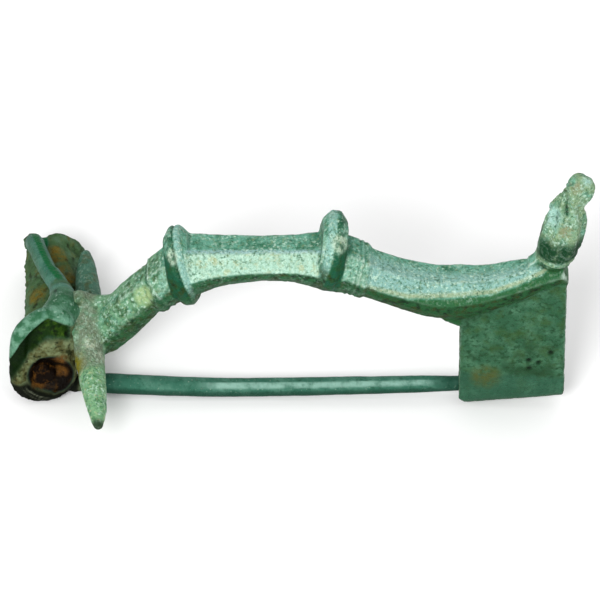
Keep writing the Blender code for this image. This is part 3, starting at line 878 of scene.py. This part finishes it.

# %% [markdown]
# ## The other parts' masks
#
# The leg, the arms, the knob and the catchplate each have tones of their own, and each stain is a soft spot
# where the brooch has one. Hollows get painted shade and crests a painted highlight. The knob gets a painted
# highlight, and painted shade at its foot and under its head.

# %% Mask the knob, the head, the plate and the stains
UNDER_KNOB_HEAD = [(27.5, -3.0, 27.6, 0.6), (26.8, -3.3, 27.4, 0.5)]
UNDER_HEAD_SHARE = 0.8
# Painted highlights on the knob's shoulder and head.
KNOB_HIGHLIGHTS = [(24.2, -2.4, 26.0, 1.3), (27.4, -2.6, 31.0, 0.8)]
KNOB_BROWN = [(26.4, -2.9, 30.2, 0.9), (25.8, -3.6, 25.0, 0.9)]
HEAD_STREAKS = [(-20.3, -4.8, 7.2, 1.0), (-19.6, -5.8, 6.4, 1.1)]
HEAD_MOSS = [(-21.4, -6.4, 5.8, 1.6)]
LEG_BLOOM = [(-15.3, -3.7, 13.4, 1.2)]
PLATE_STAIN = [(19.7, -2.93, 4.5, 1.7)]
KNOB_FOOT_TOP_Z, KNOB_FOOT_BASE_Z = (24.3, 22.6), (20.4, 21.0)
HEAD_SOIL_REACH = (2.1, 1.3)
NEAR_ARM_Y, FAR_ARM_Y = (0.0, -2.0), (0.0, 2.0)
ARM_TIP_Y, ARM_TIP_X = (-13.9, -14.8), (-15.0, -17.0)
HOLLOW_DEPTHS, CREST_HEIGHTS = (0.03, 0.14), (0.03, 0.1)
CRESTS_START_X = (-18.5, -17.0)
ROLL_TOP_Z = (5.3, 4.5)
PLATE_SMOOTHNESS = 0.8

# Painted shade at the knob's foot and under its head.
knob_foot = on_knob * step(z, *KNOB_FOOT_TOP_Z) * step(z, *KNOB_FOOT_BASE_Z)
knob_foot += UNDER_HEAD_SHARE * spots(place, UNDER_KNOB_HEAD)
hollows = hollow_depth(bow, times=10)
crests = step(-hollows, *CREST_HEIGHTS) * step(x, *CRESTS_START_X)
keep_masks(
    bow,
    knob=on_knob,
    knob_foot=knob_foot,
    plate=on_plate,
    roll=on_plate * step(z, *ROLL_TOP_Z),
    stain=spots(place, PLATE_STAIN) * on_plate,
    leg=on_leg * (1 - on_arms),
    arms=on_arms * step(y, *NEAR_ARM_Y),
    far_arm=on_arms * step(y, *FAR_ARM_Y),
    tip=step(y, *ARM_TIP_Y) * step(x, *ARM_TIP_X),
    soil=step(path_distance(place, HEAD_FILL_PATH), *HEAD_SOIL_REACH),
    # Painted shade in the hollows.
    hollow=step(hollows, *HOLLOW_DEPTHS),
    # Painted highlight on the crests.
    crest=crests * off_collars * (1 - on_knob),
    relief=1 - PLATE_SMOOTHNESS * on_plate,
    pits=spots(place, PLATE_PITS),
    knob_shine=spots(place, KNOB_HIGHLIGHTS),
    knob_brown=spots(place, KNOB_BROWN),
    streaks=spots(place, HEAD_STREAKS),
    moss=spots(place, HEAD_MOSS),
    bloom=spots(place, LEG_BLOOM),
)
print("Hollows:", np.percentile(hollows, [1, 5, 25, 50, 75, 95, 99]).round(3), "mm")

# %% [markdown]
# ## The casting's patina
#
# The ground is a mid green with darker clouds. Over it each part gets its own colours, its painted light and
# its painted shade through its mask, in the order in which a restorer would see them: metal, painted sheen,
# painted shade, flecks and last the dirt. A layer is a row: its mask, the mask's share, the colour, and the
# patches that break it up, as their size, share, softness and seed.

# %% Paint the bow, the foot and the knob
BOW = [
    ("leg", 1.0, seen(126, 176, 134, STRONG_LIGHT), (1.1, 0.6, 0.16, 8.0)),
    ("leg", 0.9, seen(60, 92, 52), (0.9, 0.45, 0.1, 35.0)),
    # Painted light: pale mint and cream on the bevels that face the front.
    ("pale", 1.0, seen(200, 243, 220, STRONG_LIGHT), (0.8, 0.82, 0.25, 5.0)),
    ("pale", 1.0, seen(202, 218, 176, STRONG_LIGHT), (0.9, 0.42, 0.1, 7.0)),
]
FOOT = [
    # Painted sheen on the foot.
    ("sheen", 1.0, seen(158, 208, 198, STRONG_LIGHT), (2.0, 0.8, 0.22, 9.0)),
    ("foot_line", 0.8, seen(186, 200, 156, STRONG_LIGHT), (1.4, 0.7, 0.2, 37.0)),
    # Painted shade on the foot's lower facet.
    ("foot_low", 0.92, seen(40, 100, 48, light=1.5)),
    # Painted highlight along the middle's upper edge.
    ("edge_line", 0.8, seen(196, 236, 240, STRONG_LIGHT), (2.0, 0.62, 0.2, 38.0)),
]
KNOB = [
    ("knob", 1.0, seen(152, 182, 140, STRONG_LIGHT), (1.3, 0.56, 0.15, 13.0)),
    ("knob_brown", 0.8, seen(158, 152, 110, STRONG_LIGHT), (0.6, 0.6, 0.15, 33.0)),
    # Painted highlight on the knob.
    ("knob_shine", 0.8, seen(190, 238, 228, STRONG_LIGHT)),
    # Painted shade at the knob's foot and under its head.
    ("knob_foot", 1.0, seen(14, 66, 34, light=1.4), (0.9, 0.72, 0.2, 50.0)),
]

patina = Paint("casting_patina", seen(116, 182, 158, light=1.25))
patina.lay(seen(56, 126, 94), patina.patches(1.2, 0.46, 0.14, 2.0))
patina.lay_all(BOW + FOOT + KNOB)
print("Patina so far:", len(patina.material.node_tree.nodes), "nodes")

# %% Paint the head, the collars and the undersides
HEAD = [
    ("arms", 0.85, seen(148, 200, 144, STRONG_LIGHT)),
    ("arms", 0.8, seen(72, 132, 78), (0.7, 0.42, 0.1, 51.0)),
    ("arms", 0.85, seen(230, 244, 190, STRONG_LIGHT), (0.4, 0.4, 0.08, 43.0)),
    ("far_arm", 0.85, seen(66, 108, 88)),
    ("far_arm", 0.8, seen(80, 88, 52), (1.0, 0.42, 0.12, 16.0)),
    ("soil", 1.0, seen(122, 136, 112), (0.9, 0.66, 0.2, 17.0)),
]
COLLARS = [
    ("collar_shade", 0.95, seen(16, 84, 46, light=1.4)),
    # Painted light on the collars' flared sides.
    ("collar_flare", 0.85, seen(166, 220, 208, STRONG_LIGHT)),
    # Painted highlight on the collars' rims.
    ("collar_shine", 0.9, seen(222, 242, 214, STRONG_LIGHT), (0.6, 0.66, 0.2, 42.0)),
    # Painted highlight on the crests.
    ("crest", 0.7, seen(220, 246, 230, STRONG_LIGHT)),
]
SHADE_AND_STREAKS = [
    # Painted shade on the undersides, mottled with olive-brown and black-green.
    ("under", 0.92, seen(36, 94, 50, light=1.5)),
    ("under", 0.8, seen(56, 66, 22, light=1.6), (0.9, 0.46, 0.1, 23.0)),
    ("under", 0.9, seen(10, 42, 20, light=1.5), (0.6, 0.42, 0.1, 46.0)),
    # Painted shade on the collars' sides away from the lamp.
    ("collars", 0.9, seen(24, 92, 66, light=1.4), (0.8, 0.5, 0.1, 47.0)),
    # Painted shade in the cuff rings' grooves.
    ("grooves", 0.75, seen(34, 84, 56, light=1.4)),
    # Painted shade in the hollows, nearly black-green.
    ("hollow", 0.9, seen(12, 34, 20, light=1.2)),
    ("streaks", 0.9, seen(222, 232, 204, STRONG_LIGHT), (0.5, 0.5, 0.1, 48.0)),
]

patina.lay_all(HEAD + COLLARS + SHADE_AND_STREAKS)
print("Patina so far:", len(patina.material.node_tree.nodes), "nodes")

# %% [markdown]
# ## Flecks, the catchplate and the stains
#
# Flecks of tan, mint and black-green are strewn as fine as two tenths of a millimetre, but fewer of them on
# the calm dark parts. A fleck needs two masks at once, a fine one and a coarse one, so that the flecks come
# in flocks.

# %% Strew the flecks and paint the plate
CALM_PARTS = {
    "plate": 1.0,
    "far_arm": 0.75,
    "under": 0.8,
    "foot_low": 0.75,
    "collar_shade": 0.85,
    "knob_foot": 0.85,
    "soil": 0.5,
}


def strew_flecks(paint):
    lively = paint.maths("MAXIMUM", paint.maths("SUBTRACT", 1.0, paint.total(CALM_PARTS)), 0.0)
    light_flecks = paint.both(paint.patches(0.3, 0.43, 0.08, 14.0), paint.patches(1.6, 0.55, 0.2, 15.0))
    dark_flecks = paint.both(paint.patches(0.32, 0.44, 0.08, 21.0), paint.patches(1.3, 0.55, 0.2, 22.0))
    for colour, flecks, share in (
        (seen(158, 172, 118), paint.patches(0.4, 0.4, 0.06, 3.0), 0.45),
        (seen(220, 255, 232, light=1.4), light_flecks, 0.85),
        (seen(30, 92, 56), dark_flecks, 0.8),
        (seen(96, 156, 118), paint.patches(0.18, 0.46, 0.1, 49.0), 0.35),
    ):
        paint.lay(colour, paint.both(flecks, paint.both(lively, share)))


PLATE = [
    ("plate", 0.95, seen(46, 94, 62)),
    ("plate", 1.0, seen(78, 128, 96), (1.7, 0.45, 0.14, 11.0)),
    ("plate", 0.9, seen(34, 76, 46), (0.5, 0.44, 0.09, 32.0)),
    ("plate", 0.7, seen(58, 92, 44), (1.6, 0.42, 0.12, 12.0)),
    ("plate", 0.8, seen(34, 70, 40), (3.2, 0.42, 0.12, 39.0)),
    ("roll", 0.6, seen(50, 98, 76)),
]
STAINS = [
    ("moss", 1.0, seen(124, 120, 34), (0.6, 0.62, 0.15, 19.0)),
    ("bloom", 0.7, seen(190, 216, 150, STRONG_LIGHT), (0.5, 0.6, 0.2, 20.0)),
    ("stain", 0.8, seen(84, 92, 40), (1.0, 0.56, 0.2, 34.0)),
    ("pits", 0.95, seen(8, 20, 12, light=1.2)),
    ("tip", 0.9, seen(24, 40, 22, light=1.4)),
]

strew_flecks(patina)
patina.lay_all(PLATE + STAINS)
print("Whole patina:", len(patina.material.node_tree.nodes), "nodes")

# %% Grow the casting's skin
CASTING_ROUGHNESS = 0.5
CASTING_GLOSS = 0.08
CASTING_GRIT = (0.22, 0.5, 0.3, 31.0)
CASTING_GRIT_DEPTH = 0.14
CASTING_SKIN = skin_sizes(swell=(0.16, 3.0), grain=(0.16, 0.6), pits=(0.08, 0.5))

grit = patina.patches(*CASTING_GRIT)
casting_patina = patina.finish(CASTING_ROUGHNESS, CASTING_GLOSS, grit, CASTING_GRIT_DEPTH)
run_tree(bow, corroded_skin, casting_patina, CASTING_SKIN)
set_points(bow, points_of(bow))
print("Bow:", len(bow.data.vertices), "points")

# %% [markdown]
# ## The spring's crust
#
# The wire is smooth where it was handled: the pin and the chord. The turns are lost in a crust of rust and
# soil. The near end is broken open like a shell, with a rusty hollow. The crust is laid on as eggs: a
# sleeve round the far turns and a plug in the near ones. Then the hollow is pressed in from the front.

# %% Lay the crust on the wire
FAR_SLEEVE_PATH = [(-24.0, -0.6, 3.4), (-23.9, 4.0, 2.95), (-23.8, 9.0, 2.9), (-24.3, 12.3, 3.1)]
FAR_SLEEVE_SIZES = [(2.5, 1.2, 2.6), (2.85, 1.2, 2.9), (2.9, 1.2, 2.95), (2.5, 1.6, 2.9)]
NEAR_PLUG = [
    ((-24.6, -4.2, 3.5), (3.3, 1.8, 3.3)),
    ((-24.5, -4.0, 6.6), (2.95, 1.5, 3.0)),
    ((-24.0, -3.5, 8.9), (2.2, 1.3, 1.8)),
    ((-22.6, -3.4, 5.4), (1.75, 1.5, 2.3)),
    ((-24.3, -1.8, 5.0), (2.6, 1.9, 3.6)),
]
FAR_TOP = ((-23.6, 12.9, 4.0), (1.7, 1.3, 2.0))
HOOK_COVER_PATH = [
    (-24.2, -3.2, 9.2),
    (-23.3, -1.6, 9.4),
    (-23.1, 0.0, 9.2),
    (-23.5, 2.0, 8.8),
    (-24.2, 4.2, 8.4),
]
HOOK_COVER_SIZES = [(1.5, 1.3, 1.5), (1.55, 1.3, 1.5), (1.35, 1.3, 1.35), (1.1, 1.1, 1.1), (0.9, 0.9, 0.9)]
HOOK_SIDE_PATH = [(-22.6, -1.8, 8.8), (-21.6, -1.0, 8.4)]
HOOK_SIDE_SIZES = [(1.3, 1.5, 1.4), (1.0, 1.3, 1.1)]

crust_lumps = egg_row(FAR_SLEEVE_PATH, FAR_SLEEVE_SIZES, count=18) + NEAR_PLUG + [FAR_TOP]
crust_lumps += egg_row(HOOK_COVER_PATH, HOOK_COVER_SIZES, count=12)
crust_lumps += egg_row(HOOK_SIDE_PATH, HOOK_SIDE_SIZES, count=3)
wire = remake_fine(merged_copy("spring_and_pin", "crusted_spring", crust_lumps), smoothings=8)
print("Spring with its crust:", len(wire.data.polygons), "faces")

# %% Press in the broken end
HOLLOW_X, HOLLOW_Z = -23.9, 3.75
HOLLOW_RADIUS = 2.45
HOLLOW_FRONT_Y = -6.25
HOLLOW_DEPTH = 1.7
HOLLOW_WAVES = 3
HOLLOW_UNEVEN = 0.12
HOLLOW_REACH = 1.15
NEAR_FACE_Y = -3.6


def press_hollow(points):
    """Pushes the near face back inside a wavy circle, deeper to the middle."""
    x, y, z = points.T
    across = np.hypot(x - HOLLOW_X, z - HOLLOW_Z) / HOLLOW_RADIUS
    uneven = HOLLOW_UNEVEN * np.sin(HOLLOW_WAVES * np.arctan2(z - HOLLOW_Z, x - HOLLOW_X) + 1.0)
    floor = HOLLOW_FRONT_Y + HOLLOW_DEPTH * np.sqrt(np.clip(1 + uneven - across**2, 0, 1))
    inside = (across < HOLLOW_REACH) & (y < NEAR_FACE_Y)
    points = points.copy()
    points[inside, 1] = np.maximum(y, floor)[inside]
    return points


set_points(wire, press_hollow(points_of(wire)))
remake_fine(wire, smoothings=1)
print("After the hollow:", len(wire.data.polygons), "faces")

# %% [markdown]
# ## Nodules of rust
#
# Rust grows in small round nodules. A second tree strews ball shapes over the crust, more where the crust
# mask is high, and the remesh welds them on.

# %% Mask the crust
CHORD_REACH = (1.0, 1.3)
LEAD_PATH = [
    (-23.6, -2.2, 9.4),
    (-25.05, -3.65, 9.9),
    (-26.4, -4.1, 9.2),
    (-27.0, -4.95, 8.1),
    (-27.3, -5.2, 6.1),
]
LEAD_REACH = (1.0, 1.25)
HOOK_SWELLING_Y = (1.6, 0.8)
HOOK_SWELLING_Z = (7.0, 8.0)
TURNS_END_X = (-20.4, -21.2)


def crust_mask(points):
    """1 on the crust and 0 on the bare wire: the chord, the pin and the smooth lead at the near end."""
    x, y, z = points.T
    off_chord = step(path_distance(points, CHORD_PATH), *CHORD_REACH)
    off_lead = step(path_distance(points, LEAD_PATH), *LEAD_REACH)
    off_hook = 1 - step(y, *HOOK_SWELLING_Y) * step(z, *HOOK_SWELLING_Z)
    return step(x, *TURNS_END_X) * off_chord * off_lead * off_hook


keep_masks(wire, crust=crust_mask(points_of(wire)))
print("Crust points:", int((crust_mask(points_of(wire)) > 0.5).sum()))

# %% Build the nodule tree
BALL_ROUNDNESS = 2
NODULE_SIZES = {"Density": 1.2e6, "Smallest": 0.08 * MM, "Largest": 0.24 * MM, "Seed": 4}


def nodule_tree():
    tree, given = begin_tree("rust nodules", ("Density", "Smallest", "Largest"), ("Seed",))
    add, feed, maths = tools_for(tree)
    strew = add("GeometryNodeDistributePointsOnFaces")
    feed(given["Geometry"], strew.inputs["Mesh"])
    feed(maths("MULTIPLY", kept_mask(tree, "crust"), given["Density"]), strew.inputs["Density"])
    feed(given["Seed"], strew.inputs["Seed"])
    ball = add("GeometryNodeMeshIcoSphere")
    ball.inputs["Radius"].default_value = 1.0
    ball.inputs["Subdivisions"].default_value = BALL_ROUNDNESS
    size = add("FunctionNodeRandomValue")
    feed(given["Smallest"], size.inputs[2])
    feed(given["Largest"], size.inputs[3])
    feed(given["Seed"], size.inputs["Seed"])
    place = add("GeometryNodeInstanceOnPoints")
    feed(strew.outputs["Points"], place.inputs["Points"])
    feed(ball.outputs["Mesh"], place.inputs["Instance"])
    feed(size.outputs[1], place.inputs["Scale"])
    join = add("GeometryNodeJoinGeometry")
    feed(place.outputs[0], join.inputs[0])
    feed(given["Geometry"], join.inputs[0])
    end_tree(tree, given, join.outputs[0])
    return tree


nodules = nodule_tree()
print("Nodule tree:", len(nodules.nodes), "nodes")

# %% [markdown]
# ## Colours of the spring
#
# The bare wire is a smooth dark teal, with a painted highlight along the pin. The crust is brown and olive
# with orange rust, the broken end has a band of painted shade inside its rim, painted shade along its
# bottom, a grey-beige part and a nearly black hollow. A stripe of painted shade in bottle green runs along
# the chord.

# %% Paint the spring
CRUST = [
    ("crust", 1.0, seen(68, 98, 62)),
    ("crust", 1.0, seen(88, 120, 90), (1.5, 0.46, 0.16, 15.0)),
    ("crust", 0.8, seen(96, 92, 30), (1.4, 0.4, 0.12, 16.0)),
    ("crust", 0.9, seen(34, 42, 20), (0.7, 0.4, 0.12, 18.0)),
    ("rust", 0.8, seen(120, 98, 26), (0.9, 0.54, 0.2, 22.0)),
]
SHELL_AND_PIN = [
    ("shell", 1.0, seen(112, 158, 132), (0.9, 0.62, 0.25, 6.0)),
    ("shell", 1.0, seen(50, 102, 70), (0.9, 0.5, 0.12, 10.0)),
    ("by_hook", 0.8, seen(50, 96, 66), (1.2, 0.62, 0.2, 52.0)),
    ("shell", 0.55, seen(166, 196, 178), (0.5, 0.36, 0.06, 40.0)),
    ("crack", 0.85, seen(16, 44, 30)),
    # Painted shade along one side of the chord.
    ("stripe", 1.0, seen(0, 92, 46, light=1.2)),
    # Painted highlight along the pin.
    ("worn", 0.7, seen(164, 208, 192), (1.2, 0.58, 0.2, 36.0)),
    ("pin_shade", 0.8, seen(20, 60, 44)),
]
BROKEN_END = [
    ("beige", 1.0, seen(122, 134, 96), (0.9, 0.66, 0.2, 24.0)),
    ("beige", 0.9, seen(74, 72, 36), (0.9, 0.52, 0.12, 44.0)),
    ("beige", 0.9, seen(28, 36, 16), (0.6, 0.43, 0.1, 28.0)),
    # Painted shade inside the broken end's rim, mottled olive and darker to the left.
    ("moss", 1.0, seen(16, 44, 4)),
    ("moss", 1.0, seen(54, 84, 16), (0.8, 0.42, 0.14, 25.0)),
    ("moss", 1.0, seen(6, 20, 3), (0.7, 0.45, 0.12, 41.0)),
    ("moss_dark", 0.92, seen(6, 26, 3)),
    ("hole", 1.0, seen(10, 5, 2)),
    ("hole", 0.9, seen(80, 54, 16), (1.1, 0.34, 0.12, 26.0)),
    ("glow", 0.9, seen(100, 66, 24), (0.6, 0.56, 0.15, 45.0)),
    # Painted shade along the bottom of the broken end.
    ("rim", 0.97, seen(6, 10, 6)),
    ("arcs", 0.6, seen(128, 134, 112)),
]

patina = Paint("spring_patina", seen(56, 110, 90))
patina.lay(seen(84, 134, 114), patina.patches(1.8, 0.45, 0.15, 4.0))
patina.lay(seen(36, 84, 64), patina.both(patina.patches(0.5, 0.4, 0.1, 8.0), 0.7))
patina.lay(seen(196, 220, 196), patina.both(patina.patches(0.25, 0.34, 0.06, 27.0), 0.3))
patina.lay_all(CRUST + SHELL_AND_PIN + BROKEN_END)
print("Spring's patina:", len(patina.material.node_tree.nodes), "nodes")

# %% Strew the nodules
WIRE_ROUGHNESS = 0.4
CRUST_EXTRA_ROUGHNESS = 0.4
SPRING_GLOSS = 0.05
SPRING_GRIT = (0.25, 0.5, 0.3, 33.0)
SPRING_GRIT_DEPTH = 0.06

roughness = patina.maths("ADD", patina.mask("crust", CRUST_EXTRA_ROUGHNESS), WIRE_ROUGHNESS)
spring_patina = patina.finish(roughness, SPRING_GLOSS, patina.patches(*SPRING_GRIT), SPRING_GRIT_DEPTH)
run_tree(wire, nodules, spring_patina, NODULE_SIZES)
remake_fine(wire, smoothings=3)
print("Spring with its nodules:", len(wire.data.polygons), "faces")

# %% [markdown]
# ## Places on the spring
#
# The near end's face is bounded by the broken rim of a green shell. A band of painted shade lies inside the
# rim, wide at the left and narrow at the right and sunk a little, then comes beige soil, and then the hollow.
# The rim is drawn as a height over each length, so a point's distance below the rim places the band of shade.

# %% Find the spring's parts
SHELL_RIM_X = (-28.2, -27.9, -27.2, -26.3, -25.2, -24.6, -23.4, -21.5)
SHELL_RIM_Z = (5.4, 6.1, 7.7, 8.9, 9.9, 10.2, 9.8, 8.8)
FACE_STARTS_Y = (-3.2, -3.8)
NEAR_TURNS_X = (-20.6, -21.2)
NEAR_TURNS_Y = (0.6, -0.2)
RIM_SHADE_WIDTH_X = (-27.0, -23.0)
RIM_SHADE_WIDTH = (3.1, 1.5)
RIM_SHADE_EDGE = (1.15, 0.8)
RIM_EDGE = (-0.2, 0.3)
RIM_SHADE_ENDS_X = (-21.9, -22.7)
RIM_SHADE_SUNK = 0.35
HOLE_EDGE = (1.04, 0.88)

place = points_of(wire)
x, y, z = place.T
below_rim = np.interp(x, SHELL_RIM_X, SHELL_RIM_Z) - z
on_face = step(y, *FACE_STARTS_Y) * step(x, *NEAR_TURNS_X) * step(below_rim, *RIM_EDGE)
rim_shade_width = np.interp(x, RIM_SHADE_WIDTH_X, RIM_SHADE_WIDTH)
# Painted shade: a dark green band, mottled with olive, inside the broken end's rim.
moss = on_face * step(below_rim, *(rim_shade_width * edge for edge in RIM_SHADE_EDGE)) * step(x, *RIM_SHADE_ENDS_X)
place[:, 1] += RIM_SHADE_SUNK * moss
set_points(wire, place)
nx, ny, nz = normals_of(wire).T
across = np.hypot(x - HOLLOW_X, z - HOLLOW_Z)
hole = on_face * step(across, *(HOLLOW_RADIUS * edge for edge in HOLE_EDGE))
crust = crust_mask(place) * (1 - hole)
near_part = step(y, *NEAR_TURNS_Y) * step(x, *NEAR_TURNS_X)
print("Moss points:", int((moss > 0.5).sum()), "hollow points:", int((hole > 0.5).sum()))

# %% Mask the broken end
GLOWING_RUST = [
    (-23.05, -5.0, 5.6, 0.8),
    (-22.9, -5.0, 3.8, 0.8),
    (-25.1, -5.2, 2.4, 1.0),
    (-22.6, -4.2, 6.7, 0.5),
]
RIM_SHADE_DARKENS_X = (-24.6, -26.4)
RIM_REACH = (2.2, 2.5)
RIM_TOP_Z = (3.4, 2.5)
OUTER_ARC, INNER_ARC = (3.06, 3.12), (2.72, 2.8)
OUTER_ARC_SHARE = 0.5
ARCS_TOP_Z, ARCS_END_X = (2.6, 1.8), (-23.6, -24.8)

arcs = OUTER_ARC_SHARE * within(across, *OUTER_ARC, soft=0.05)
arcs = np.maximum(within(across, *INNER_ARC, soft=0.06), arcs)
# Painted shade: near-black along the bottom of the broken end.
low_rim = step(y, *FACE_STARTS_Y) * step(across, *RIM_REACH) * step(z, *RIM_TOP_Z) * step(x, *NEAR_TURNS_X)
keep_masks(
    wire,
    # On the spring this mask is painted shade inside the rim; on the casting it is an olive stain.
    moss=moss,
    moss_dark=moss * step(x, *RIM_SHADE_DARKENS_X),
    beige=on_face * (1 - hole) * (1 - moss),
    hole=hole,
    glow=spots(place, GLOWING_RUST),
    rim=low_rim,
    arcs=on_face * arcs * step(z, *ARCS_TOP_Z) * step(x, *ARCS_END_X),
)
print("Arc points:", int((arcs * on_face > 0.5).sum()))

# %% Mask the shell, the crust and the pin
RUST_SPOTS = [
    (-23.9, 10.2, 5.8, 1.3),
    (-22.6, 7.5, 5.6, 1.5),
    (-22.2, 4.2, 5.2, 1.3),
    (-25.5, 4.6, 4.9, 1.2),
    (-22.4, -3.9, 6.2, 0.5),
    (-22.0, -5.0, 4.6, 0.9),
]
CRACK_PATH = [(-23.85, -0.3, 10.2), (-23.7, -1.8, 10.5), (-23.75, -3.3, 10.1)]
CRACK_REACH = (0.34, 0.2)
BY_HOOK_Y, BY_HOOK_X = (-3.6, -2.4), (-25.6, -24.8)
CHORD_SHADE_REACH = (1.2, 1.05)
CHORD_SHADE_FACES = (-0.35, 0.3)
CHORD_SHADE_STARTS_Y = (0.6, 1.6)
PIN_STARTS_X = (-19.5, -18.5)
PIN_HIGHLIGHT_X = (-8.0, 14.2)
HIGHLIGHT_FACES_FRONT, HIGHLIGHT_FACES_UP = (-0.8, -0.3), (0.3, 0.6)
SHADE_FACES_DOWN = (-0.4, 0.1)
PIN_TIP_X, PIN_TIP_SHADE = (14.0, 16.2), 0.8
BARE_WIRE_RELIEF, CRUST_RELIEF = 0.1, 0.9

# Painted shade: a bottle-green stripe along one side of the chord, chosen by the way it faces.
on_chord_shade = step(path_distance(place, CHORD_PATH), *CHORD_SHADE_REACH) * within(nx, *CHORD_SHADE_FACES, soft=0.12)
on_pin = step(x, *PIN_STARTS_X)
# Painted highlight along the pin's upper front, on its middle stretch.
highlit_stretch = on_pin * within(x, *PIN_HIGHLIGHT_X, soft=1.5)
pin_shade = np.maximum(step(-nz, *SHADE_FACES_DOWN), PIN_TIP_SHADE * step(x, *PIN_TIP_X))
keep_masks(
    wire,
    crust=crust,
    rust=spots(place, RUST_SPOTS) * crust,
    shell=near_part * (1 - on_face),
    by_hook=near_part * step(y, *BY_HOOK_Y) * step(x, *BY_HOOK_X),
    crack=step(path_distance(place, CRACK_PATH), *CRACK_REACH) * (1 - on_face),
    stripe=on_chord_shade * step(y, *CHORD_SHADE_STARTS_Y),
    worn=highlit_stretch * within(ny, *HIGHLIGHT_FACES_FRONT, soft=0.12) * step(nz, *HIGHLIGHT_FACES_UP),
    pin_shade=on_pin * pin_shade,
    relief=crust * CRUST_RELIEF + BARE_WIRE_RELIEF,
)
print("Stripe points:", int((on_chord_shade > 0.5).sum()))

# %% Grow the spring's skin
SPRING_SKIN = skin_sizes(swell=(0.12, 3.0), grain=(0.3, 0.7), pits=(0.1, 0.5))

run_tree(wire, corroded_skin, spring_patina, SPRING_SKIN)
set_points(wire, points_of(wire))
print("Spring:", len(wire.data.polygons), "faces")

# %% [markdown]
# ## The iron bar
#
# The iron bar that the spring was wound on has rusted to an uneven dark core. It shows only in the broken
# end, so a fine copy with a deep swell and a short rusty paint is enough.

# %% Make the rusty bar
BAR_ROUGHNESS = 0.75
BAR_GLOSS = 0.05
BAR_GRIT = (0.3, 0.5, 0.3, 33.0)
BAR_GRIT_DEPTH = 0.1
BAR_SKIN = skin_sizes(swell=(0.9, 1.3), grain=(0.5, 0.5), pits=(0.1, 0.5))


def paint_bar():
    paint = Paint("bar_rust", seen(18, 9, 4))
    paint.lay(seen(96, 62, 20), paint.patches(0.9, 0.4, 0.1, 4.0))
    paint.lay(seen(12, 7, 4), paint.patches(0.5, 0.42, 0.08, 6.0))
    return paint.finish(BAR_ROUGHNESS, BAR_GLOSS, paint.patches(*BAR_GRIT), BAR_GRIT_DEPTH)


bar = remake_fine(merged_copy("axis_bar", "rusty_bar"), smoothings=6)
keep_masks(bar, relief=np.ones(len(bar.data.vertices)))
run_tree(bar, corroded_skin, paint_bar(), BAR_SKIN)
print("Bar:", len(bar.data.polygons), "faces")

# %% [markdown]
# ## Hand over the pieces
#
# Each finished piece stands in for one solid. It rides on the same body and replaces that solid's plain look,
# so that the solids go on carrying the weight and the touch of the brooch.

# %% Join the looks to the solids
for piece, node, slot in (
    (bow, "bow", "cast_bronze"),
    (wire, "spring_and_pin", "wire_bronze"),
    (bar, "axis_bar", "rusty_iron"),
):
    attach(piece, "root")
    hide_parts(node)
print("Pieces:", bow.name, wire.name, bar.name)
